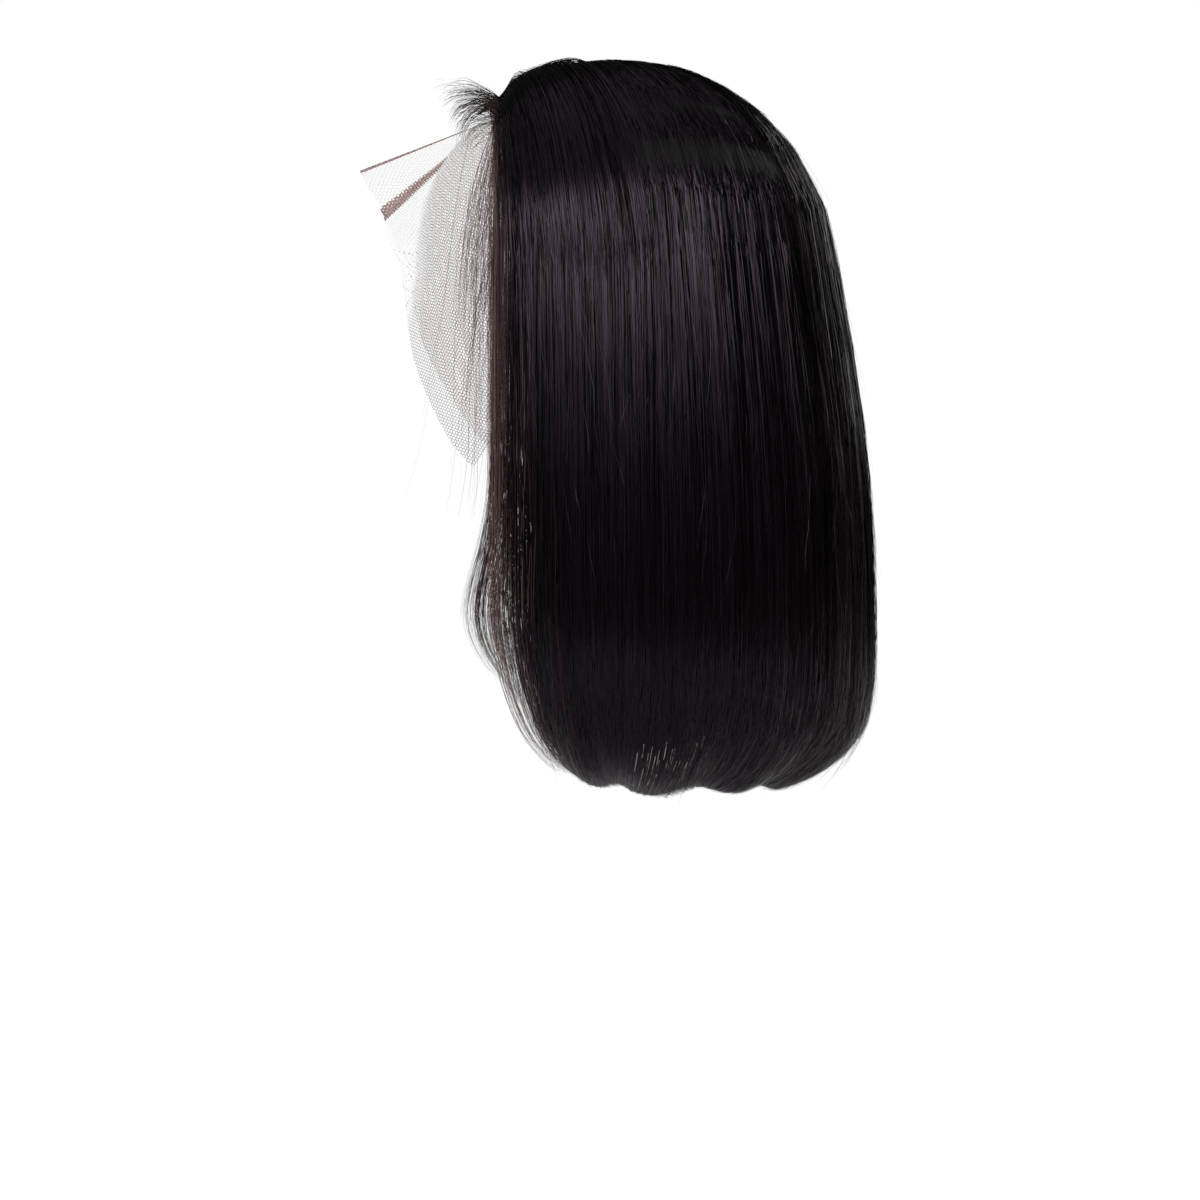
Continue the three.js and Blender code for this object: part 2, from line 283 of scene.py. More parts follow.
@dataclass(frozen=True)
class StrandFinish:
    """Bare strands. Their UV map holds a strand's own shade and the share of its length from the root."""

    name: str
    dark: tuple[float, float, float]
    light: tuple[float, float, float]
    tip: tuple[float, float, float]
    roughness: float = 0.27
    specular: float = 0.25
    sheen: tuple[float, float, float] = (1.0, 0.78, 1.0)

    def material(self) -> bpy.types.Material:
        """Returns the finish as a material."""
        material, tree, shader = shader_tree(self.name)
        shade, along = own_uv(tree)
        body = tree.blend(self.dark, self.light, shade ** 2.0)
        worn = tree.node("ShaderNodeMix", {"data_type": "RGBA"},
                         {"Factor": along.ramp(0.55, 1.0) * 0.8, "A": body, "B": (*self.tip, 1.0)})
        rough = shade * 0.16 + (self.roughness - 0.08)
        tree.feed(shader, {"Base Color": worn.outputs["Result"], "Roughness": rough,
                           "Specular IOR Level": self.specular, "Specular Tint": (*self.sheen, 1.0)})
        return material


DARK_HAIR = StrandFinish("dark_strands", dark=(0.001, 0.0006, 0.001), light=(0.005, 0.003, 0.0048),
                         tip=(0.005, 0.003, 0.004))
# Painted backlight: a lighter brown copy of the dark hair, whose colour stands in for light shining through fine
# strands at the edges.
FINE_HAIR_PAINTED_BACKLIGHT = StrandFinish("fine_strands_painted_backlight", dark=(0.014, 0.0085, 0.0085), light=(0.075, 0.042, 0.038),
                         tip=(0.07, 0.04, 0.036), roughness=0.32, specular=0.15)
# Painted backlight: a still lighter brown copy of the dark hair, whose colour stands in for light shining through
# thin edges, wisps and the veil.
EDGE_HAIR_PAINTED_BACKLIGHT = StrandFinish("edge_strands_painted_backlight", dark=(0.09, 0.053, 0.05), light=(0.3, 0.19, 0.175),
                          tip=(0.23, 0.145, 0.135), roughness=0.35, specular=0.1)
# Painted glints: near-white strands whose colour stands in for light caught where the hem turns under.
PAINTED_GLINT_HAIR = StrandFinish("painted_glint_strands", dark=(0.3, 0.28, 0.28), light=(0.95, 0.93, 0.92),
                         tip=(0.9, 0.88, 0.87), roughness=0.3, specular=0.4)


@dataclass(frozen=True)
class UnderHairFinish:
    """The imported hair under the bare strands, in fine lengthwise streaks."""

    name: str = "under_hair"
    dark: tuple[float, float, float] = (0.0012, 0.0008, 0.0012)
    light: tuple[float, float, float] = (0.005, 0.0034, 0.0048)
    strands_across: float = 420.0

    def material(self) -> bpy.types.Material:
        """Returns the finish as a material."""
        material, tree, shader = shader_tree(self.name)
        across, down = own_uv(tree)
        fine = tree.noise(tree.vector(across * self.strands_across, down * 7.0), 1.0, 3.0)
        broad = tree.noise(tree.vector(across * 60.0, down * 2.5, 4.0), 1.0, 2.0)
        streak = (fine * 0.65 + broad * 0.35).ramp(0.35, 0.68)
        bump = tree.node("ShaderNodeBump", None, {"Strength": 0.7, "Distance": 0.0006, "Height": fine})
        tree.feed(shader, {"Base Color": tree.blend(self.dark, self.light, streak),
                           "Roughness": streak * 0.2 + 0.36,
                           "Normal": bump.outputs[0], "Specular IOR Level": 0.25})
        return material


@dataclass(frozen=True)
class LaceFinish:
    """Sheer net of fine thread in six-sided meshes. Its UV map is in millimetres of the flat cloth."""

    name: str = "lace_net"
    thread: tuple[float, float, float] = (0.5, 0.36, 0.33)
    shadow: tuple[float, float, float] = (0.26, 0.18, 0.165)
    mesh_width: float = 1.8

    def material(self) -> bpy.types.Material:
        """Returns the finish as a material."""
        material, tree, shader = shader_tree(self.name)
        x, y = own_uv(tree)
        tall = self.mesh_width * math.sqrt(3.0)

        def cell(shift: float) -> tuple[Scalar, Scalar]:
            """Returns the place in one of the two interleaved grids of cells."""
            px = (x + self.mesh_width * shift).wrapped(self.mesh_width) - self.mesh_width / 2
            py = (y + tall * shift).wrapped(tall) - tall / 2
            return abs(px), abs(py)

        (ax, ay), (bx, by) = cell(0.0), cell(0.5)
        reach_a = (ax * 0.5 + ay * (math.sqrt(3.0) / 2)).at_least(ax)
        reach_b = (bx * 0.5 + by * (math.sqrt(3.0) / 2)).at_least(bx)
        to_thread = self.mesh_width / 2 - reach_a.at_most(reach_b)
        width = tree.scalar("ShaderNodeAttribute", {"attribute_name": "thread_width"}, None, "Fac")
        thread = to_thread.below(width / 2.0)
        flecks = tree.noise(tree.vector(x * 0.9, y * 0.9), 1.0, 2.0)
        tree.feed(shader, {"Base Color": tree.blend(self.shadow, self.thread, flecks.ramp(0.3, 0.7)),
                           "Roughness": flecks * 0.2 + 0.55, "Alpha": thread, "Specular IOR Level": 0.3})
        return material


@dataclass(frozen=True)
class CapFinish:
    """Dark stretch net, close enough to hide what is behind it. Its UV map is in millimetres."""

    name: str = "cap_net"
    thread: tuple[float, float, float] = (0.022, 0.018, 0.02)
    hole: tuple[float, float, float] = (0.006, 0.005, 0.006)
    rib: float = 2.2

    def material(self) -> bpy.types.Material:
        """Returns the finish as a material."""
        material, tree, shader = shader_tree(self.name)
        x, y = own_uv(tree)
        wale = (x * (math.tau / self.rib)).math("SINE") * 0.5 + 0.5
        course = ((y + x * 0.5) * (math.tau / self.rib)).math("SINE") * 0.5 + 0.5
        knit = (wale * course).ramp(0.1, 0.7)
        bump = tree.node("ShaderNodeBump", None, {"Strength": 0.6, "Distance": 0.0004, "Height": knit})
        tree.feed(shader, {"Base Color": tree.blend(self.hole, self.thread, knit),
                           "Roughness": 1.0 - knit * 0.25,
                           "Normal": bump.outputs[0], "Specular IOR Level": 0.25})
        return material


@dataclass(frozen=True)
class FloorFinish:
    """Plain pale studio floor, which glows on its far side as a lit backdrop does."""

    name: str = "studio_floor"
    tone: tuple[float, float, float] = (0.9, 0.9, 0.905)
    fade: float = 0.2

    def material(self) -> bpy.types.Material:
        """Returns the finish as a material."""
        material, tree, shader = shader_tree(self.name)
        place = tree.node("ShaderNodeTexCoord").outputs["Object"]
        grain = tree.noise(place, 40.0, 3.0)
        dull = tuple(value * 0.985 for value in self.tone)
        across = Scalar(tree, tree.node("ShaderNodeSeparateXYZ", None, {0: place}).outputs[0])
        seen = tree.scalar("ShaderNodeLightPath", None, None, "Is Camera Ray")
        share = (across * -1.0).ramp(-self.fade, self.fade).at_least(seen)
        glow = tree.blend((0.0, 0.0, 0.0), (1.0, 1.0, 1.0), share)
        tree.feed(shader, {"Base Color": tree.blend(dull, self.tone, grain), "Roughness": 0.9,
                           "Specular IOR Level": 0.1, "Emission Color": glow, "Emission Strength": 1.0})
        return material


# Forms


def signed_power(value: Points, power: float) -> Points:
    """Returns a power of each value with the value's sign kept."""
    return np.sign(value) * np.abs(value) ** power


def smooth_table(rows: Points, at: Points) -> Points:
    """Reads a table along its first column, with rounded corners.

    Args:
        rows: The table, sorted by its first column.
        at: Where to read it.

    Returns:
        One row of the other columns for each place.
    """
    fine = np.linspace(rows[0, 0], rows[-1, 0], 241)
    values = np.stack([np.interp(fine, rows[:, 0], column) for column in rows[:, 1:].T], axis=1)
    for _ in range(40):
        values[1:-1] = (values[:-2] + 2 * values[1:-1] + values[2:]) / 4
    return np.stack([np.interp(at, fine, column) for column in values.T], axis=-1)


@dataclass(frozen=True)
class Form:
    """A rounded form about the crown, in millimetres. front and back are its reach from its middle."""

    middle: float
    width: float
    front: float
    back: float
    crown: float
    squareness: float

    def point(self, turn: Points, latitude: Points) -> Points:
        """Returns the points at turns round the form and latitudes down from its top."""
        power = 2 / self.squareness
        side, ahead = signed_power(np.cos(turn), power), signed_power(np.sin(turn), power)
        rise, spread = signed_power(np.cos(latitude), power), signed_power(np.sin(latitude), power)
        reach = np.where(ahead < 0, self.front, self.back)
        x = self.width * side * spread
        y = self.middle + reach * ahead * spread
        return np.stack(np.broadcast_arrays(x, y, self.crown * rise - HEAD_CROWN), axis=-1)

    def height(self, x: Points, y: Points) -> Points:
        """Returns the form's height over places in its plan."""
        ahead = y - self.middle
        reach = np.where(ahead < 0, self.front, self.back)
        used = np.abs(x / self.width) ** self.squareness + np.abs(ahead / reach) ** self.squareness
        return self.crown * np.clip(1 - used, 0, None) ** (1 / self.squareness) - HEAD_CROWN


HEAD_CROWN = 98.0
HEAD = Form(0.0, 77.0, 106.0, 93.0, HEAD_CROWN, 2.3)
CAP_WALL = 1.5
SEAT_GAP = 0.8
LINING = Form(0.0, 77.0 + CAP_WALL + SEAT_GAP, 106.0 + CAP_WALL + SEAT_GAP, 93.0 + CAP_WALL + SEAT_GAP,
              HEAD_CROWN + CAP_WALL + SEAT_GAP, 2.3)
HAIR_FORM = Form(-4.0, 88.0, 114.0, 118.5, 113.8, 1.95)
HAIR_HALF_WIDTH = 101.0
HAIR_BACK = 134.0
HAIR_DROP = 364.0
SIDE_WALL = 13.0
BACK_WALL = 25.0
LEFT_FRONT = 75.0
RIGHT_FRONT = 51.0
PANEL_TURN = math.radians(48.0)
PART_FRONT = 61.0
PART_BACK = 12.0
LOCKS = 8
HEM_RHYTHM = 2.4
HEM_PHASE = 0.8

# drop, swell, tuck_side, tuck_back, tuck_front, tuck_right, wall
FALL = np.array([
    (0.0, 0.0, 0.0, 0.0, 0.0, 0.0, 1.0),
    (0.09, 0.24, 0.0, 0.0, 0.0, 0.0, 1.0),
    (0.19, 0.5, 0.0, 0.0, 0.0, 0.0, 1.0),
    (0.3, 0.71, 0.0, 0.0, 0.0, 0.0, 1.0),
    (0.42, 0.87, 0.0, 0.0, 0.0, 0.0, 1.0),
    (0.54, 0.96, 0.0, 0.0, 0.0, -0.1, 1.0),
    (0.65, 1.0, 0.0, 0.0, 0.0, -0.27, 1.0),
    (0.73, 1.0, 0.005, 0.0, 0.02, -0.25, 0.95),
    (0.8, 1.0, 0.03, 0.014, 0.075, -0.02, 0.85),
    (0.86, 1.0, 0.075, 0.045, 0.155, 0.26, 0.72),
    (0.91, 1.0, 0.14, 0.09, 0.23, 0.4, 0.6),
    (0.95, 1.0, 0.22, 0.16, 0.32, 0.52, 0.48),
    (0.98, 1.0, 0.32, 0.26, 0.46, 0.64, 0.38),
    (1.0, 1.0, 0.42, 0.37, 0.6, 0.76, 0.3),
])


def mesh_object(name: str, vertices: Points, faces: Points, smooth: bool = True) -> bpy.types.Object:
    """Makes a mesh object at the origin.

    Args:
        name: The object's name.
        vertices: Points in metres.
        faces: Four or three vertex numbers for each face.
        smooth: Whether its faces are shaded smooth.

    Returns:
        The object, linked to the scene.
    """
    mesh = bpy.data.meshes.new(name)
    mesh.from_pydata(vertices.tolist(), [], faces.tolist())
    mesh.validate()
    if smooth:
        mesh.shade_smooth()
    piece = bpy.data.objects.new(name, mesh)
    bpy.context.scene.collection.objects.link(piece)
    return piece


def grid_faces(rows: int, columns: int, first: int = 0, flipped: bool = False) -> Points:
    """Returns the quads of a grid of points that is stored row by row.

    Args:
        rows: How many rows of points it has.
        columns: How many points each row has.
        first: The number of its first point.
        flipped: Whether the faces look the other way.

    Returns:
        Four point numbers for each quad.
    """
    i, j = np.meshgrid(np.arange(rows - 1), np.arange(columns - 1), indexing="ij")
    a = first + i * columns + j
    quads = np.stack([a, a + columns, a + columns + 1, a + 1], axis=-1).reshape(-1, 4)
    return quads[:, ::-1] if flipped else quads


def set_uv(piece: bpy.types.Object, name: str, per_vertex: Points) -> None:
    """Gives a mesh a UV map from one place for each vertex."""
    layer = piece.data.uv_layers.new(name=name)
    corners = np.empty(len(piece.data.loops), np.int32)
    piece.data.loops.foreach_get("vertex_index", corners)
    layer.data.foreach_set("uv", per_vertex[corners].astype(np.float32).ravel())


def guide_object(name: str, near: Points, far: Points, flipped: bool = False) -> bpy.types.Object:
    """Makes a surface that strands follow.

    Args:
        name: The object's name.
        near: A grid of points in millimetres, the surface itself.
        far: A grid of the same size, at full depth behind it.
        flipped: Whether its faces look the other way.

    Returns:
        The surface, with its guide_uv map and its wall attribute, which goes from near to far.
    """
    rows, columns = near.shape[:2]
    piece = mesh_object(name, near.reshape(-1, 3) * MM, grid_faces(rows, columns, 0, flipped))
    u, v = np.meshgrid(np.linspace(0, 1, columns), np.linspace(0, 1, rows))
    set_uv(piece, "guide_uv", np.stack([u.ravel(), v.ravel()], axis=1))
    wall = piece.data.attributes.new("wall", "FLOAT_VECTOR", "POINT")
    wall.data.foreach_set("vector", ((far - near).reshape(-1, 3) * MM).astype(np.float32).ravel())
    return piece


# Hair


class Panel(Enum):
    """The three panels of hair, each standing for one CAD node."""

    LEFT = "hair_left"
    RIGHT = "hair_right"
    BACK = "hair_back"


@dataclass(frozen=True)
class HairSurface:
    """The outside and the lining of one panel of hair, in millimetres.

    across goes from the front edge to the back, and down from the root to the tip.
    """

    panel: Panel
    over_share: float = 0.33
    part_half_gap: float = 1.0
    crown_ring: float = 3.0
    groove: float = 0.1
    hem_step: float = 7.0
    hem_front_lift: float = 8.0
    curl_radius: float = 14.0
    back_late: float = 1.0
    front_tuck: float = 1.0

    @property
    def first_lock(self) -> int:
        """The number of the panel's first lock."""
        return {Panel.LEFT: 0, Panel.RIGHT: 2 * LOCKS, Panel.BACK: LOCKS}[self.panel]

    @property
    def front_turn(self) -> float:
        """The turn at the front edge of the panel's side of the head."""
        ahead = RIGHT_FRONT if self.panel is Panel.RIGHT else LEFT_FRONT
        return -math.asin(((ahead + HAIR_FORM.middle) / HAIR_FORM.front) ** (HAIR_FORM.squareness / 2))

    def turn(self, across: Points) -> Points:
        """Returns the turn round the head of places across the panel."""
        if self.panel is Panel.BACK:
            return PANEL_TURN + across * (math.pi - 2 * PANEL_TURN)
        return self.front_turn + across * (PANEL_TURN - self.front_turn)

    def root(self, across: Points) -> tuple[Points, Points]:
        """Returns the places in the plan where the hair leaves the parting or the crown."""
        if self.panel is Panel.BACK:
            x = self.part_half_gap * np.cos(across * math.pi)
            return x, PART_BACK + self.crown_ring * np.sin(across * math.pi)
        return np.full_like(across, self.part_half_gap), -PART_FRONT + across * (PART_FRONT + PART_BACK)

    def side_of(self, form: Form, wall: tuple[float, float], across: Points, down: Points) -> Points:
        """Returns points of the outside or of the lining.

        Args:
            form: The form that this side follows over the head.
            wall: How far it lies within the full size, at the side and at the back.
            across: Places across the panel.
            down: Places down its length, of the same shape.

        Returns:
            A point for each place.
        """
        turn = self.turn(across)
        widest = form.point(turn, np.full_like(turn, math.pi / 2))
        root_x, root_y = self.root(across)
        spread = np.sin(np.clip(down / self.over_share, 0, 1) * math.pi / 2)
        x = root_x + (widest[..., 0] - root_x) * spread
        y = root_y + (widest[..., 1] - root_y) * spread
        over = np.stack([x, y, form.height(x, y)], axis=-1)
        drop = np.clip((down - self.over_share) / (1 - self.over_share), 0, 1)
        swell, tuck_side, tuck_back, tuck_left, tuck_right, full = np.moveaxis(smooth_table(FALL, drop), -1, 0)
        tuck_back = FALL[-1, 3] * (tuck_back / FALL[-1, 3]) ** self.back_late
        tuck_front = tuck_right if self.panel is Panel.RIGHT else tuck_left
        thin_side, thin_back = wall[0] * (1 - full), wall[1] * (1 - full)
        width = form.width + (HAIR_HALF_WIDTH - wall[0] - form.width) * swell
        width = width - (HAIR_HALF_WIDTH - thin_side) * tuck_side + thin_side
        back = form.back + (HAIR_BACK - wall[1] - form.middle - form.back) * swell
        back = back - (HAIR_BACK - thin_back) * tuck_back + thin_back
        front = form.front * (1 - tuck_front * self.front_tuck)
        power = 2 / form.squareness
        side, ahead = signed_power(np.cos(turn), power), signed_power(np.sin(turn), power)
        reach = np.where(ahead < 0, front, back)
        z = -HEAD_CROWN - (HAIR_DROP - HEAD_CROWN) * drop + self.lift(across, turn) * drop ** 3
        fall = np.stack([width * side, form.middle + reach * ahead, z], axis=-1)
        return np.where((down > self.over_share)[..., None], fall, over)

    def lift(self, across: Points, turn: Points) -> Points:
        """Returns how far above the mean hem each place across ends."""
        lock = self.first_lock + across * LOCKS
        folded = np.where(turn > math.pi / 2, math.pi - turn, turn)
        ahead = np.clip(np.sin(-folded), 0, None) / math.sin(-self.front_turn)
        wave = np.sin(lock * HEM_RHYTHM + HEM_PHASE)
        return self.hem_step * 0.5 * wave + self.hem_front_lift * ahead

    def sides(self, across: Points, down: Points) -> tuple[Points, Points]:
        """Returns the outside and the lining over a grid, smoothed down its length.

        Args:
            across: Places across the panel, one for each column. They may pass its edges.
            down: Places down its length, one for each row. They may pass the tip.

        Returns:
            Two grids of points.
        """
        across_grid, down_grid = np.meshgrid(across, down)
        inner = self.side_of(LINING, (SIDE_WALL, BACK_WALL), across_grid, np.minimum(down_grid, 1))
        outer = self.side_of(HAIR_FORM, (0.0, 0.0), across_grid, np.minimum(down_grid, 1))
        from_front = across_grid * LOCKS if self.panel is not Panel.BACK else np.full_like(across_grid, 9.0)
        edge = 1 - 0.7 * np.clip(1 - from_front / 1.3, 0, 1) ** 2
        over = np.clip(down_grid / self.over_share, 0, 1)
        part = 1 - 0.2 * np.clip(1 - over / 0.45, 0, 1) ** 2
        lock = self.first_lock + across_grid * LOCKS
        groove = 1 - self.groove * (1 + 2 * np.cos(math.tau * lock)) / 3 * over
        outer = inner + (outer - inner) * (edge * part * groove)[..., None]
        last = int(np.searchsorted(down, 1.0, side="right")) - 1
        for points in (outer, inner):
            for _ in range(10):
                points[1:-1] = (points[:-2] + 2 * points[1:-1] + points[2:]) / 4
            self.curl_under(points, down, last)
        if self.panel is Panel.RIGHT:
            outer[..., 0] *= -1
            inner[..., 0] *= -1
        return outer, inner

    def curl_under(self, points: Points, down: Points, last: int) -> None:
        """Bends the rows past the tip inward and up, round a small circle.

        Args:
            points: A grid of points, changed in place.
            down: Places down the length, one for each row.
            last: The last row that isn't past the tip.
        """
        step = (points[last] - points[last - 3]) / (down[last] - down[last - 3])
        speed = np.linalg.norm(step, axis=-1, keepdims=True)
        ahead = step / speed
        inward = ahead * (1.0, 1.0, 0.0)
        inward /= np.linalg.norm(inward, axis=-1, keepdims=True)
        under = inward - ahead * np.sum(inward * ahead, axis=-1, keepdims=True)
        under /= np.linalg.norm(under, axis=-1, keepdims=True)
        for row in range(last + 1, len(down)):
            bend = (down[row] - down[last]) * speed / self.curl_radius
            points[row] = points[last] + self.curl_radius * (np.sin(bend) * ahead + (1 - np.cos(bend)) * under)


@dataclass(frozen=True)
class StrandSet:
    """One set of strands along a panel, with lengths in millimetres and places as shares of the panel."""

    name: str
    count: int
    segments: int = 16
    width: float = 0.32
    across: tuple[float, float] = (0.0, 1.0)
    gather: float = 1.0
    start: tuple[float, float] = (0.0, 0.03)
    end: tuple[float, float] = (1.05, 0.07)
    reach: float = 0.0
    sweep: float = 0.0
    depth: float = 0.25
    weave: float = 1.5
    inside: float = 0.1
    lift: float = 0.6
    lift_tip: float = 1.0
    sway: float = 0.012
    sway_down: float = 2.2
    fine_sway: float = 0.004
    drift: float = 0.06
    tilt: float = 0.55
    seed: int = 1


class StrandMaker:
    """Lays strands on a guide surface with Geometry Nodes."""

    LOCK_WAVES = 14.0
    FINE_WAVES = 60.0
    INPUTS = (
        ("Count", "NodeSocketInt"), ("Segments", "NodeSocketInt"), ("Width", "NodeSocketFloat"),
        ("Across From", "NodeSocketFloat"), ("Across To", "NodeSocketFloat"), ("Gather", "NodeSocketFloat"),
        ("Start", "NodeSocketFloat"),
        ("Start Spread", "NodeSocketFloat"), ("End", "NodeSocketFloat"), ("End Spread", "NodeSocketFloat"),
        ("Reach", "NodeSocketFloat"), ("Sweep", "NodeSocketFloat"),
        ("Depth", "NodeSocketFloat"), ("Weave", "NodeSocketFloat"), ("Inside", "NodeSocketFloat"),
        ("Lift", "NodeSocketFloat"),
        ("Lift Tip", "NodeSocketFloat"), ("Sway", "NodeSocketFloat"), ("Sway Down", "NodeSocketFloat"),
        ("Fine Sway", "NodeSocketFloat"), ("Drift", "NodeSocketFloat"), ("Tilt", "NodeSocketFloat"),
        ("Seed", "NodeSocketInt"), ("Material", "NodeSocketMaterial"),
    )

    def __init__(self) -> None:
        """Builds the tree once, for every set of strands."""
        self.group = bpy.data.node_groups.new("strands", "GeometryNodeTree")
        face = self.group.interface
        face.new_socket("Guide", in_out="INPUT", socket_type="NodeSocketGeometry")
        self.identifiers = {
            name: face.new_socket(name, in_out="INPUT", socket_type=kind).identifier
            for name, kind in self.INPUTS
        }
        face.new_socket("Strands", in_out="OUTPUT", socket_type="NodeSocketGeometry")
        self.tree = Tree(self.group)
        self.given = self.tree.node("NodeGroupInput")
        self.build()

    def value(self, name: str) -> Scalar:
        """Returns one of the tree's named inputs."""
        return Scalar(self.tree, self.given.outputs[name])

    def chance(self, salt: int) -> Scalar:
        """Returns a number from 0 to 1 that is a strand's own."""
        values = {"ID": self.read("strand", "INT"), "Seed": self.value("Seed") * 31.0 + float(salt)}
        return self.tree.scalar("FunctionNodeRandomValue", {"data_type": "FLOAT"}, values)

    def read(self, name: str, kind: str) -> Socket:
        """Returns a named attribute."""
        node = self.tree.node("GeometryNodeInputNamedAttribute", {"data_type": kind}, {"Name": name})
        return next(s for s in node.outputs if s.enabled)

    def store(self, geometry: Socket, name: str, kind: str, domain: str, value: Socket | Scalar) -> Socket:
        """Stores a named attribute and returns the geometry."""
        settings = {"data_type": kind, "domain": domain}
        values = {"Geometry": geometry, "Name": name, "Value": value}
        return self.tree.node("GeometryNodeStoreNamedAttribute", settings, values).outputs[0]

    def on_guide(self, field_value: Socket, place: Socket) -> Socket:
        """Reads a vector of the guide surface at a place in its UV map."""
        values = {"Mesh": self.given.outputs["Guide"], "Value": field_value,
                  "UV Map": self.read("guide_uv", "FLOAT_VECTOR"), "Sample UV": place}
        node = self.tree.node("GeometryNodeSampleUVSurface", {"data_type": "FLOAT_VECTOR"}, values)
        return node.outputs[0]

    def build(self) -> None:
        """Adds the nodes that turn a guide surface into strands."""
        tree = self.tree
        line = tree.node("GeometryNodeCurvePrimitiveLine", None,
                         {"Start": (0, 0, 0), "End": (1, 0, 0)}).outputs[0]
        line = tree.node("GeometryNodeResampleCurve", None,
                         {"Curve": line, "Count": self.value("Segments") + 1.0}).outputs[0]
        copies = tree.node("GeometryNodeDuplicateElements", {"domain": "SPLINE"},
                           {"Geometry": line, "Amount": self.value("Count")})
        curves = self.store(copies.outputs[0], "strand", "INT", "CURVE", copies.outputs[1])
        along = Scalar(tree, tree.node("GeometryNodeSplineParameter").outputs["Factor"])
        curves = self.store(curves, "along", "FLOAT", "POINT", along)
        along = Scalar(tree, self.read("along", "FLOAT"))
        along = along - (along * math.tau).math("SINE") * (0.5 / math.tau)
        strand = Scalar(tree, self.read("strand", "INT"))
        home = ((strand + self.chance(1)) / self.value("Count")) ** self.value("Gather")
        home = self.value("Across From").toward(self.value("Across To"), home)
        start = self.value("Start") + self.chance(2) * self.value("Start Spread")
        end = self.value("End") - (self.chance(3) ** 2.0) * self.value("End Spread")
        short = start + self.value("Reach") * (self.chance(3) * 0.7 + 0.3)
        end = end.toward(short, Scalar.of(tree, 0.0).below(self.value("Reach")))
        down = start.toward(end, along)
        seed = self.value("Seed")
        shared = tree.noise(tree.vector(home * self.LOCK_WAVES, down * self.value("Sway Down"), seed * 0.37))
        lock = tree.noise(tree.vector(home * self.FINE_WAVES, down * 1.2, seed * 0.71))
        own = tree.noise(tree.vector(self.chance(4) * 900.0, down * 9.0), 1.0, 1.0)
        sway = (shared - 0.5) * self.value("Sway") * 2.0 + (lock - 0.5) * self.value("Sway")
        grow = along ** 0.7
        across = home + sway * grow + (own - 0.5) * self.value("Fine Sway") * 2.0 * grow
        across = across + (self.chance(5) - 0.5) * self.value("Drift") * along
        across = across + self.value("Sweep") * along ** 0.4
        place = tree.vector(across.at_least(0.001).at_most(0.999), down.at_least(0.0005).at_most(0.9995))
        surface = self.on_guide(tree.node("GeometryNodeInputPosition").outputs[0], place)
        wall = self.on_guide(self.read("wall", "FLOAT_VECTOR"), place)
        normal = self.on_guide(tree.node("GeometryNodeInputNormal").outputs[0], place)
        inside = self.chance(7).below(self.value("Inside"))
        weave = tree.noise(tree.vector(self.chance(13) * 700.0, down * 5.0, 3.0), 1.0, 1.0)
        depth = (self.chance(6) ** 1.4) * 0.7 + (weave - 0.4).at_least(0.0) * self.value("Weave")
        stands_off = self.value("Depth").below(0.0)
        depth = (depth * self.value("Depth") * (1.0 - along ** 2.0 * stands_off)).toward(1.0, inside)
        loose = tree.noise(tree.vector(self.chance(15) * 600.0, down * 4.0, 5.0), 1.0, 1.0)
        lift = (self.chance(8) ** 2.0) * (loose - 0.2).at_least(0.0) * self.value("Lift") * 2.6
        lift = lift + (self.chance(9) ** 3.0) * self.value("Lift Tip") * (along ** 2.0)
        lift = lift + (own - 0.5) * self.value("Lift") * 0.5
        where = tree.moved(tree.moved(surface, wall, depth), normal, lift)
        curves = tree.node("GeometryNodeSetPosition", None, {"Geometry": curves, "Position": where}).outputs[0]
        curves = tree.node("GeometryNodeSetCurveNormal", {"mode": "FREE"},
                           {"Curve": curves, "Normal": normal}).outputs[0]
        turning = tree.noise(tree.vector(self.chance(14) * 800.0, down * 12.0, 9.0), 1.0, 1.0)
        tilt = (self.chance(10) * 2.0 - 1.0 + (turning - 0.5) * 2.0) * self.value("Tilt")
        curves = tree.node("GeometryNodeSetCurveTilt", None, {"Curve": curves, "Tilt": tilt}).outputs[0]
        shade = self.chance(12) * 0.6 + (turning - 0.3).at_least(0.0) * 0.6
        curves = self.store(curves, "shade", "FLOAT", "POINT", shade.at_most(0.99).at_least(0.01))
        taper = 1.0 - (along ** 5.0) * 0.7
        scale = self.value("Width") * (self.chance(11) * 0.7 + 0.65) * taper
        profile = tree.node("GeometryNodeCurvePrimitiveLine", None,
                            {"Start": (0, -0.5, 0), "End": (0, 0.5, 0)}).outputs[0]
        ribbons = tree.node("GeometryNodeCurveToMesh", None,
                            {"Curve": curves, "Profile Curve": profile, "Scale": scale}).outputs[0]
        uv = tree.vector(Scalar(tree, self.read("shade", "FLOAT")), Scalar(tree, self.read("along", "FLOAT")))
        ribbons = self.store(ribbons, UV_NAME, "FLOAT2", "CORNER", uv)
        for name in ("strand", "along", "shade"):
            ribbons = tree.node("GeometryNodeRemoveAttribute", None,
                                {"Geometry": ribbons, "Name": name}).outputs[0]
        ribbons = tree.node("GeometryNodeRealizeInstances", None, {"Geometry": ribbons}).outputs[0]
        ribbons = tree.node("GeometryNodeSetMaterial", None,
                            {"Geometry": ribbons, "Material": self.given.outputs["Material"]}).outputs[0]
        tree.node("NodeGroupOutput", None, {0: ribbons})

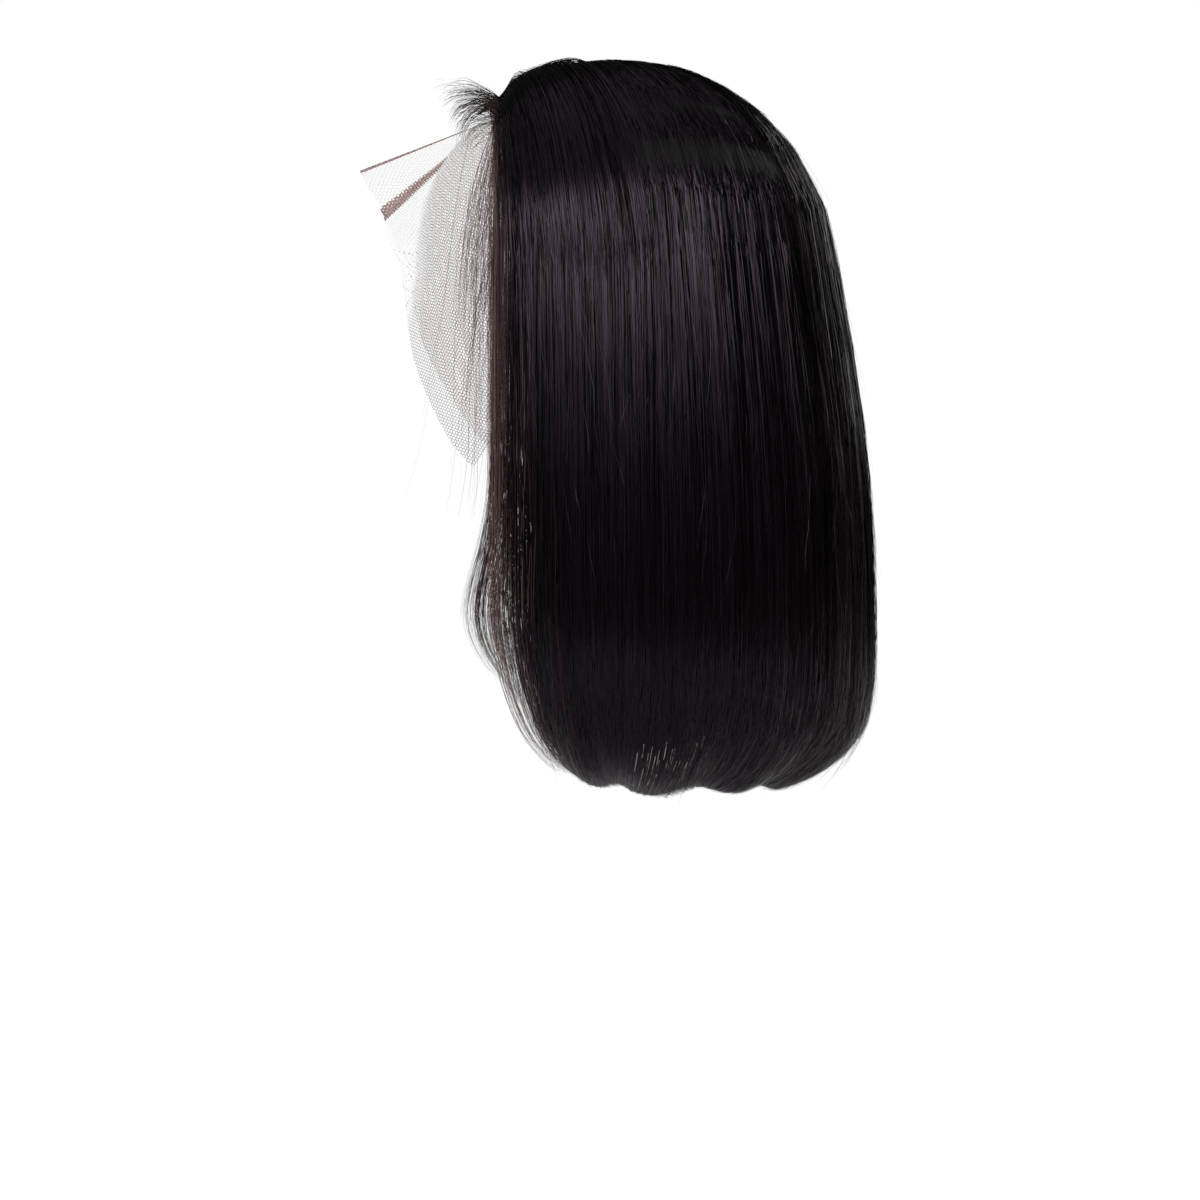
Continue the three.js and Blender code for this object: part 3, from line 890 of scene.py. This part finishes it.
    def make(self, guide: bpy.types.Object, sizes: StrandSet, material: bpy.types.Material,
             across_in: tuple[float, float], down_in: float) -> bpy.types.Object:
        """Makes one set of strands as a plain mesh.

        Args:
            guide: The guide surface, with its guide_uv map and wall attribute.
            sizes: The set's sizes.
            material: The strands' material.
            across_in: The places across the panel at the two sides of the guide's map.
            down_in: The place down the panel at the end of the guide's map.

        Returns:
            The strands' object.
        """
        span = across_in[1] - across_in[0]
        given = {
            "Count": sizes.count, "Segments": sizes.segments, "Width": sizes.width * MM,
            "Across From": (sizes.across[0] - across_in[0]) / span,
            "Across To": (sizes.across[1] - across_in[0]) / span,
            "Gather": sizes.gather, "Start": sizes.start[0] / down_in, "Start Spread": sizes.start[1] / down_in,
            "End": sizes.end[0] / down_in, "End Spread": sizes.end[1] / down_in,
            "Reach": sizes.reach / down_in, "Sweep": sizes.sweep / span, "Depth": sizes.depth,
            "Weave": sizes.weave, "Inside": sizes.inside, "Lift": sizes.lift * MM, "Lift Tip": sizes.lift_tip * MM,
            "Sway": sizes.sway / span, "Sway Down": sizes.sway_down, "Fine Sway": sizes.fine_sway / span,
            "Drift": sizes.drift / span, "Tilt": sizes.tilt, "Seed": sizes.seed, "Material": material,
        }
        modifier = guide.modifiers.new("strands", "NODES")
        modifier.node_group = self.group
        for name, value in given.items():
            modifier[self.identifiers[name]] = value
        evaluated = guide.evaluated_get(bpy.context.evaluated_depsgraph_get())
        mesh = bpy.data.meshes.new_from_object(evaluated)
        guide.modifiers.remove(modifier)
        mesh.name = sizes.name
        mesh.shade_smooth()
        piece = bpy.data.objects.new(sizes.name, mesh)
        bpy.context.scene.collection.objects.link(piece)
        return piece


@dataclass
class HairPanel:
    """One panel of hair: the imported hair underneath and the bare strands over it."""

    panel: Panel
    maker: StrandMaker
    sets: list[tuple[StrandSet, bpy.types.Material]]
    under: bpy.types.Material
    columns: int = 60
    rows: int = 90
    guide_across: tuple[float, float] = (-0.26, 1.0)
    guide_down: float = 1.07
    under_down: float = 0.94
    under_share: float = 0.84
    under_from: float = 0.0
    surface: HairSurface = field(init=False)

    def __post_init__(self) -> None:
        """Takes the panel's surface."""
        self.surface = HairSurface(self.panel)
        if self.panel is Panel.BACK:
            self.guide_across = (-0.04, 1.04)

    def guide(self) -> bpy.types.Object:
        """Makes the surface that the strands follow, a little past the panel's edges and tip."""
        across = np.linspace(*self.guide_across, self.columns)
        down = np.linspace(0, self.guide_down, self.rows)
        outer, inner = replace(self.surface, back_late=1.6, front_tuck=0.9, hem_step=4.5).sides(across, down)
        return guide_object(f"guide_{self.panel.value}", outer, inner, self.panel is Panel.RIGHT)

    def under_hair(self) -> bpy.types.Object:
        """Makes the closed wall of packed hair that stands for the CAD node."""
        across = np.linspace(self.under_from, 1.0, self.columns)
        down = np.linspace(0, self.under_down, self.rows)
        outer, inner = self.surface.sides(across, down)
        taper = 1 - np.clip((down - 0.6) / (self.under_down - 0.6), 0, 1)[:, None, None] ** 2 * 0.55
        outer = inner + (outer - inner) * self.under_share * taper
        points = np.concatenate([outer.reshape(-1, 3), inner.reshape(-1, 3)])
        second = self.rows * self.columns
        flip = self.panel is Panel.RIGHT
        faces = [grid_faces(self.rows, self.columns, 0, flip),
                 grid_faces(self.rows, self.columns, second, not flip)]
        rim = np.concatenate([
            np.arange(self.columns), np.arange(1, self.rows) * self.columns + self.columns - 1,
            (self.rows - 1) * self.columns + np.arange(self.columns - 2, -1, -1),
            np.arange(self.rows - 2, 0, -1) * self.columns,
        ])
        ahead = np.roll(rim, -1)
        strip = np.stack([rim, ahead, ahead + second, rim + second], axis=1)
        faces.append(strip[:, ::-1] if flip else strip)
        piece = mesh_object(f"under_{self.panel.value}", points * MM, np.concatenate(faces))
        u, v = np.meshgrid(np.linspace(0, 1, self.columns), np.linspace(0, 1, self.rows))
        places = np.stack([u.ravel(), v.ravel()], axis=1)
        set_uv(piece, UV_NAME, np.concatenate([places, places]))
        piece.data.materials.append(self.under)
        return piece

    def build(self) -> list[bpy.types.Object]:
        """Builds the panel, hides its CAD node and attaches its pieces to the root body.

        Returns:
            The pieces, with the one that stands for the CAD node first.
        """
        under = self.under_hair()
        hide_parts(self.panel.value)
        guide = self.guide()
        pieces = [under]
        for sizes, material in self.sets:
            pieces.append(self.maker.make(guide, sizes, material, self.guide_across, self.guide_down))
        bpy.data.objects.remove(guide)
        for piece in pieces:
            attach(piece, "root")
        return pieces


@dataclass(frozen=True)
class WispSet:
    """One set of fine hairs along a hairline. Slopes are in degrees above the level, first at the root."""

    name: str
    count: int
    length: float
    path: tuple[float, float]
    high: tuple[float, float]
    low: tuple[float, float]
    shortening: float = 0.35
    gather: float = 1.2
    drift: float = 0.2
    seed: int = 60


@dataclass
class HairlineWisps:
    """The fine hairs along the hairline of one side, which leave it forward and bend down."""

    panel: Panel
    maker: StrandMaker
    sizes: WispSet
    finish: bpy.types.Material
    rows: int = 24
    columns: int = 24

    def fan(self, roots: Points, slopes: tuple[float, float], length: Points) -> Points:
        """Returns rows of points that leave the roots forward and bend from one slope to another."""
        slope = np.radians(np.linspace(slopes[0], slopes[1], self.rows))[:, None]
        ahead = np.stack([0 * slope, -np.cos(slope), np.sin(slope)], axis=-1)
        step = ahead * length[None, :, None] / (self.rows - 1)
        step[0] = 0
        return roots[None] + np.cumsum(np.broadcast_to(step, (self.rows, len(roots), 3)), axis=0)

    def build(self) -> bpy.types.Object:
        sizes = self.sizes
        down = np.linspace(0.0, sizes.path[1], 80)
        outer, inner = HairSurface(self.panel).sides(np.array([0.0, 0.02]), down)
        path = inner[:, 0] + (outer[:, 0] - inner[:, 0]) * 0.3
        pick = np.linspace(0, 1, self.columns)
        at = sizes.path[0] + (sizes.path[1] - sizes.path[0]) * pick
        path = np.stack([np.interp(at, down, path[:, k]) for k in range(3)], axis=1)
        length = sizes.length * (1 - sizes.shortening * pick)
        high, low = self.fan(path, sizes.high, length), self.fan(path, sizes.low, length)
        name = f"{sizes.name}_{self.panel.value.removeprefix('hair_')}"
        guide = guide_object(f"fan_{name}", high, low)
        strands = StrandSet(name, sizes.count, segments=14, width=0.2, gather=sizes.gather, start=(0.0, 0.0),
                            end=(1.0, 0.75), depth=1.35, weave=0.15, inside=0.0, lift=0.5, lift_tip=5.0, sway=0.01,
                            sway_down=1.0, fine_sway=0.004, drift=sizes.drift, tilt=1.5,
                            seed=sizes.seed + list(Panel).index(self.panel))
        piece = self.maker.make(guide, strands, self.finish, (0.0, 1.0), 1.0)
        bpy.data.objects.remove(guide)
        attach(piece, "root")
        return piece


# Foundation


@dataclass
class LaceFront:
    """The sheer net ahead of the cap, over the forehead and the cheeks, with a pinched pleat over the brow."""

    finish: LaceFinish = LaceFinish()
    hairline_drop: float = 16.0
    taper: float = 0.08
    veil_drop: float = 196.0
    veil_lift: float = 5.0
    pleat_half_turn: float = math.radians(12.0)
    pleat_reach: float = 135.0
    pleat_drop: float = 47.0
    pleat_half_width: float = 12.0
    scalp_rows: int = 14
    veil_rows: int = 60
    flat_columns: int = 52
    above: float = 0.5
    thread_width: float = 0.24
    web_width: float = 0.045
    fold_width: float = 1.25
    # shares of the pleat's half turn at which the sheet has its columns
    folds: tuple[float, ...] = (
        0.0, 0.01, 0.02, 0.1, 0.2, 0.28, 0.345, 0.355, 0.4, 0.445, 0.455, 0.52, 0.6, 0.7, 0.85)
    # turn from the ear to the middle of the face, drop
    edge: Points = field(default_factory=lambda: np.array([
        (0.0, 0.08), (0.22, 0.66), (0.42, 1.0), (0.52, 0.87), (0.64, 0.66), (0.78, 0.42), (0.9, 0.17), (1.0, 0.03)]))
    # turn from the ridge, leave, half, reach, drop
    pleat: Points = field(default_factory=lambda: np.array([
        (0.0, 0.07, 0.0, 1.0, 1.0), (0.2, 0.12, 0.2, 0.96, 1.22), (0.4, 0.22, 0.45, 0.906, 1.46),
        (0.7, 0.5, 0.8, 0.875, 1.8), (1.0, 1.0, 1.4, 0.8, 2.1)]))

    def latitude(self, drop: float) -> float:
        """Returns the latitude at which the head lies a drop below its top."""
        return math.acos((1 - drop / HEAD_CROWN) ** (HEAD.squareness / 2))

    def lying(self, turn: Points, drop: Points, down: Points) -> Points:
        """Returns points of the lace that lies on the head or hangs from the cheekbones."""
        widest_row = 0.55
        start = self.latitude(self.hairline_drop)
        latitude = start + (math.pi / 2 - start) * np.clip(down / widest_row, 0, 1)
        hang = np.clip((down - widest_row) / (1 - widest_row), 0, 1)
        point = HEAD.point(turn, latitude)
        close_in = 1 - self.taper * (hang * drop / (self.veil_drop - HEAD_CROWN)) ** 2
        lift = self.veil_lift * hang * np.clip(-np.sin(turn), 0, None) ** 4
        return np.stack([point[..., 0] * close_in, point[..., 1] - lift, point[..., 2] - hang * drop], axis=-1)

    def points(self) -> tuple[Points, Points]:
        """Returns the sheet's points and the width of its thread at each, in millimetres."""
        flat = np.linspace(0, math.pi / 2 - self.pleat_half_turn, self.flat_columns + 1)
        fold = np.array([-1.0, *(-share for share in self.folds[:0:-1]), *self.folds, 1.0]) * self.pleat_half_turn
        turns = np.concatenate([math.pi + flat[:-1], 1.5 * math.pi + fold, math.tau - flat[:-1][::-1]])
        down = np.concatenate([np.full(self.scalp_rows, -1.0), np.linspace(0, 1, self.veil_rows + 1)])
        turn, row = np.meshgrid(turns, down)
        to_face = 1 - np.abs(turn - 1.5 * math.pi) / (math.pi / 2)
        drop = np.interp(to_face, self.edge[:, 0], self.edge[:, 1]) * (self.veil_drop - HEAD_CROWN)
        sheet = self.lying(turn, drop, np.clip(row, 0, 1))
        scalp = np.linspace(0, 1, self.scalp_rows, endpoint=False)[:, None] * self.latitude(self.hairline_drop)
        over = (self.scalp_rows, len(turns))
        sheet[: self.scalp_rows] = HEAD.point(np.broadcast_to(turns, over), np.broadcast_to(scalp, over))
        pleat = np.abs(turn - 1.5 * math.pi) / self.pleat_half_turn
        leave, half, reach, fall = (np.interp(pleat, self.pleat[:, 0], self.pleat[:, k]) for k in range(1, 5))
        side = np.sign(turn - 1.5 * math.pi)
        tip = np.stack(
            [side * self.pleat_half_width * half, -self.pleat_reach * reach, -self.pleat_drop * fall], -1)
        begin = self.lying(turn, drop, leave)
        share = np.clip((row - leave) / np.maximum(1 - leave, 1e-6), 0, 1)[..., None]
        sheet = np.where(((row > leave) & (pleat < 1))[..., None], begin + (tip - begin) * share, sheet)
        width = np.where(pleat < 1, self.web_width, self.thread_width)
        width = np.where(pleat < 0.015, self.fold_width, width)
        opening = share[..., 0] ** 2 * (self.fold_width - self.web_width) + self.web_width
        width = np.where(np.abs(pleat - 0.4) < 0.05, opening, width)
        width = np.where(np.abs(pleat - 0.4) < 0.01, self.fold_width, width)
        thin = np.clip((1.4 - pleat) / 0.6, 0, 1) * np.clip((row - 0.2) / 0.35, 0, 1)
        lying = self.thread_width + (self.web_width - self.thread_width) * thin
        width = np.where(row > leave, width, lying)
        return sheet, width

    def build(self) -> bpy.types.Object:
        sheet, width = self.points()
        rows, columns = sheet.shape[:2]
        piece = mesh_object("lace_sheet", sheet.reshape(-1, 3) * MM, grid_faces(rows, columns))
        down = np.linalg.norm(np.diff(sheet, axis=0), axis=-1)
        down = np.concatenate([np.zeros((1, columns)), np.cumsum(down, axis=0)])
        across = np.linalg.norm(np.diff(sheet[self.scalp_rows + self.veil_rows // 2], axis=0), axis=-1)
        across = np.broadcast_to(np.concatenate([[0], np.cumsum(across)]), sheet.shape[:2])
        set_uv(piece, UV_NAME, np.stack([across.ravel(), down.ravel()], axis=1))
        layer = piece.data.attributes.new("thread_width", "FLOAT", "POINT")
        layer.data.foreach_set("value", width.astype(np.float32).ravel())
        normals = np.array([v.normal for v in piece.data.vertices])
        moved = sheet.reshape(-1, 3) * MM + normals * self.above * MM
        moved[:, 1] -= 0.00015
        piece.data.vertices.foreach_set("co", moved.astype(np.float32).ravel())
        piece.data.materials.append(self.finish.material())
        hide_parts("lace_front")
        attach(piece, "root")
        return piece


@dataclass
class NetCap:
    """The stretch net cap over the back half of the head."""

    finish: CapFinish = CapFinish()
    wall: float = CAP_WALL
    ear_drop: float = 106.0
    nape_drop: float = 142.0
    rows: int = 40
    columns: int = 96

    def surface(self, distance: float) -> Points:
        """Returns the cap's points at a distance from the head."""
        form = Form(0.0, HEAD.width + distance, HEAD.front + distance, HEAD.back + distance,
                    HEAD.crown + distance, HEAD.squareness)
        turns = np.linspace(0, math.pi, self.columns)
        rim = self.ear_drop + (self.nape_drop - self.ear_drop) * np.sin(turns) ** 2
        rise = 1 - rim / HEAD_CROWN
        reach = np.arccos(signed_power(rise, HEAD.squareness / 2))
        latitude = np.linspace(0, 1, self.rows)[:, None] * reach[None]
        points = form.point(np.broadcast_to(turns, latitude.shape), latitude)
        points[..., 1] += 0.15
        return points

    def build(self) -> bpy.types.Object:
        outer, inner = self.surface(self.wall), self.surface(0.0)
        second = self.rows * self.columns
        rim = np.concatenate([
            np.arange(1, self.rows) * self.columns,
            (self.rows - 1) * self.columns + np.arange(1, self.columns),
            np.arange(self.rows - 2, 0, -1) * self.columns + self.columns - 1,
        ])
        strip = np.stack([rim[1:], rim[:-1], rim[:-1] + second, rim[1:] + second], axis=1)
        faces = np.concatenate([
            grid_faces(self.rows, self.columns), grid_faces(self.rows, self.columns, second, True), strip])
        points = np.concatenate([outer.reshape(-1, 3), inner.reshape(-1, 3)]) * MM
        piece = mesh_object("net_cap", points, faces)
        place = np.stack([points[:, 0], points[:, 2]], axis=1) / MM
        set_uv(piece, UV_NAME, place)
        piece.data.materials.append(self.finish.material())
        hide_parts("cap")
        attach(piece, "root")
        return piece


# Studio


@dataclass
class Studio:
    """Pale floor, soft lights and the camera of the photograph's view."""

    distance: float = 1.6
    view_turn: float = math.radians(81.0)
    view_width: float = 0.624
    target: tuple[float, float, float] = (0.0, -0.0104, -0.267)
    floor_height: float = -0.62
    fill: float = 0.045
    floor_finish: FloorFinish = FloorFinish()

    def camera(self) -> None:
        """Sets the camera."""
        data = bpy.data.cameras.new("view")
        data.sensor_width = 36.0
        data.lens = 36.0 * self.distance / self.view_width
        data.clip_end = 50.0
        item = bpy.data.objects.new("view", data)
        direction = Vector((math.sin(self.view_turn), -math.cos(self.view_turn), 0.0))
        item.location = Vector(self.target) + direction * self.distance
        item.rotation_euler = (-direction).to_track_quat("-Z", "Y").to_euler()
        bpy.context.scene.collection.objects.link(item)
        bpy.context.scene.camera = item

    def lamp(self, name: str, place: tuple[float, float, float], size: tuple[float, float], power: float) -> None:
        """Adds a soft rectangular light that looks at the wig."""
        data = bpy.data.lights.new(name, "AREA")
        data.shape = "RECTANGLE"
        data.size, data.size_y = size
        data.energy = power
        item = bpy.data.objects.new(name, data)
        item.location = place
        item.rotation_euler = (Vector(self.target) - Vector(place)).to_track_quat("-Z", "Y").to_euler()
        bpy.context.scene.collection.objects.link(item)

    def build(self) -> None:
        """Builds the studio."""
        self.camera()
        corners = np.array([(-6, -6, 0), (6, -6, 0), (6, 6, 0), (-6, 6, 0)], float)
        corners[:, 2] = self.floor_height
        floor = mesh_object("studio_floor", corners, np.array([(0, 1, 2, 3)]), False)
        floor.data.materials.append(self.floor_finish.material())
        floor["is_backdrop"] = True
        self.lamp("key", (1.5, -0.35, 0.66), (2.4, 0.56), 26.0)
        self.lamp("top", (0.4, -0.2, 1.4), (1.6, 1.6), 4.0)
        self.lamp("back", (-1.1, 1.4, 0.5), (1.0, 1.0), 6.0)
        world = bpy.data.worlds.new("studio")
        world.use_nodes = True
        bpy.context.scene.world = world
        world.node_tree.nodes.clear()
        tree = Tree(world.node_tree)
        seen = tree.scalar("ShaderNodeLightPath", None, None, "Is Camera Ray")
        strength = seen.at_least(self.fill)
        sky = tree.node("ShaderNodeBackground", None, {"Color": (1.0, 1.0, 1.0, 1.0), "Strength": strength})
        tree.node("ShaderNodeOutputWorld", None, {"Surface": sky.outputs[0]})
        bpy.context.scene.view_settings.view_transform = "Standard"


@dataclass(frozen=True)
class StrandMaterials:
    """The finishes of the full hair, of fine hairs, of thin edges and of glints: the fine and edge ones are lighter
    copies of the dark hair that paint light shining through thin strands, the glint one paints glints.
    """

    full: bpy.types.Material
    fine: bpy.types.Material
    edge: bpy.types.Material
    glint: bpy.types.Material


STRANDS_FROM = {Panel.LEFT: 0.045, Panel.RIGHT: 0.18, Panel.BACK: 0.0}
UNDER_FROM = {Panel.LEFT: 0.12, Panel.RIGHT: 0.24, Panel.BACK: 0.0}
WISPS = WispSet("wisps", 150, 40.0, path=(0.0, 0.14), high=(50.0, -20.0), low=(0.0, -92.0))
VEIL = WispSet("veil", 60, 120.0, path=(0.04, 0.34), high=(-64.0, -93.0), low=(-86.0, -98.0), gather=1.0,
               drift=0.08, shortening=0.1, seed=70)


def panel_sets(panel: Panel, finishes: StrandMaterials) -> list[tuple[StrandSet, bpy.types.Material]]:
    """Returns the sets of strands of one panel.

    Args:
        panel: The panel.
        finishes: The strands' materials.

    Returns:
        Each set with its material.
    """
    short = panel.value.removeprefix("hair_")
    salt = list(Panel).index(panel) * 10
    front = STRANDS_FROM[panel]
    # Away from the near side, loose hair takes the fine finish, with its painted backlight.
    loose = finishes.full if panel is Panel.LEFT else finishes.fine
    rim = panel is Panel.BACK
    sets = [
        (StrandSet(f"strands_{short}", 5700, across=(front, 1.0), gather=1.0 if rim else 0.64,
                   lift=2.0 if rim else 0.6, seed=salt + 1), finishes.full),
        (StrandSet(f"tips_{short}", 2200, segments=10, width=0.27, across=(front, 1.0),
                   gather=1.0 if rim else 0.7, start=(0.78, 0.08), end=(1.04, 0.09), depth=1.2, inside=0.0,
                   lift=0.3, lift_tip=1.4, fine_sway=0.01, drift=0.05, seed=salt + 2), finishes.full),
        (StrandSet(f"flyaways_{short}", 300 if rim else 150, segments=22, width=0.18, start=(0.0, 0.3),
                   end=(1.02, 0.3), depth=0.05, inside=0.0, lift=1.5 if rim else 1.0, lift_tip=3.5, sway=0.03,
                   fine_sway=0.02, drift=0.08, seed=salt + 3), loose),
        (StrandSet(f"fuzz_{short}", 700, segments=9, width=0.15, start=(0.03, 0.88), reach=0.2, depth=0.05,
                   inside=0.0, lift=1.0, lift_tip=5.0, sway=0.05, sway_down=6.0, fine_sway=0.02, drift=0.1,
                   seed=salt + 6), loose),
        (StrandSet(f"ends_{short}", 260, segments=10, width=0.2, across=(0.08, 1.0), start=(0.84, 0.08),
                   end=(0.995, 0.06), depth=0.3, inside=0.0, lift=0.4, lift_tip=12.0, sway=0.03,
                   fine_sway=0.02, drift=0.1, seed=salt + 5), finishes.full),
    ]
    return sets if rim else sets + side_sets(panel is Panel.LEFT, short, salt, finishes)


def side_sets(near: bool, short: str, salt: int,
              finishes: StrandMaterials) -> list[tuple[StrandSet, bpy.types.Material]]:
    """Returns the sets of strands that only the two sides have, round their front edges.

    Args:
        near: Whether this is the left side, which the photograph shows.
        short: The side's name.
        salt: What keeps its seeds apart from those of the other side.
        finishes: The strands' materials.

    Returns:
        Each set with its material.
    """
    # The front, edge and stray strands take finishes with painted backlight.
    return [
        (StrandSet(f"front_{short}", 150 if near else 290, segments=22, width=0.21,
                   across=(-0.015, 0.2) if near else (-0.05, 0.23), gather=0.8 if near else 1.0,
                   start=(0.0, 0.1), end=(1.04, 0.12) if near else (0.91, 0.1), depth=1.0, inside=0.0,
                   lift=0.8, lift_tip=2.0, sway=0.03, fine_sway=0.008, drift=0.03, seed=salt + 7),
         finishes.fine),
        (StrandSet(f"edge_{short}", 140 if near else 200, segments=22, width=0.2,
                   across=(-0.03, 0.13) if near else (-0.06, 0.08), start=(0.02, 0.3),
                   end=(1.02, 0.22) if near else (0.87, 0.1), depth=1.3, inside=0.0, lift=1.0, lift_tip=3.0,
                   sway=0.03, fine_sway=0.012, drift=0.05, seed=salt + 4), finishes.edge),
        # Pale strands that paint glints of light where the hem turns under.
        (StrandSet(f"glints_{short}", 26, segments=8, width=0.34, across=(0.44, 0.64), start=(0.925, 0.05),
                   reach=0.055, depth=-0.15, weave=0.0, inside=0.0, lift=0.2, lift_tip=0.0, sway=0.0,
                   fine_sway=0.002, drift=0.0, seed=salt + 20), finishes.glint),
        (StrandSet(f"crown_{short}", 700, width=0.3, across=(-0.07, 0.35), sweep=0.13, start=(0.0, 0.02),
                   end=(0.36, 0.2), depth=-0.4, inside=0.0, lift=0.3, lift_tip=0.5, sway=0.02,
                   fine_sway=0.008, drift=0.03, seed=salt + 8), finishes.full),
        (StrandSet(f"forelock_{short}", 420, segments=14, width=0.25, across=(-0.19, 0.0), gather=0.6,
                   sweep=0.2, start=(0.0, 0.01), end=(0.3, 0.22), depth=-1.3, weave=0.2, inside=0.0, lift=0.2,
                   lift_tip=0.5, sway=0.02, fine_sway=0.006, drift=0.06, seed=salt), finishes.full),
        (StrandSet(f"strays_{short}", 14, segments=28, width=0.16, across=(-0.16, -0.02), start=(0.06, 0.25),
                   end=(0.65, 0.3), depth=0.2, inside=0.0, lift=4.0, lift_tip=30.0, sway=0.06,
                   fine_sway=0.02, drift=0.1, seed=salt + 9), finishes.edge),
    ]


def main() -> None:
    """Builds the wig and its studio."""
    logging.basicConfig(level=logging.INFO, format="%(name)s: %(message)s")
    cad_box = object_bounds()
    Studio().build()
    finishes = StrandMaterials(DARK_HAIR.material(), FINE_HAIR_PAINTED_BACKLIGHT.material(), EDGE_HAIR_PAINTED_BACKLIGHT.material(),
                               PAINTED_GLINT_HAIR.material())
    under = UnderHairFinish().material()
    cap = NetCap().build()
    LOG.info("%s: %d faces", cap.name, len(cap.data.polygons))
    maker = StrandMaker()
    for panel in Panel:
        hair = HairPanel(panel, maker, panel_sets(panel, finishes), under, under_from=UNDER_FROM[panel])
        for piece in hair.build():
            LOG.info("%s: %d faces", piece.name, len(piece.data.polygons))
    for panel in (Panel.LEFT, Panel.RIGHT):
        # The wisps and the veil take finishes with painted backlight.
        for sizes, material in ((WISPS, finishes.fine), (VEIL, finishes.edge)):
            wisps = HairlineWisps(panel, maker, sizes, material).build()
            LOG.info("%s: %d faces", wisps.name, len(wisps.data.polygons))
    lace = LaceFront().build()
    LOG.info("%s: %d faces", lace.name, len(lace.data.polygons))
    sizes = {"cad": [list(map(float, corner)) for corner in cad_box],
             "visual": [list(map(float, corner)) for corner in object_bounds()]}


if __name__ == "__main__":
    main()
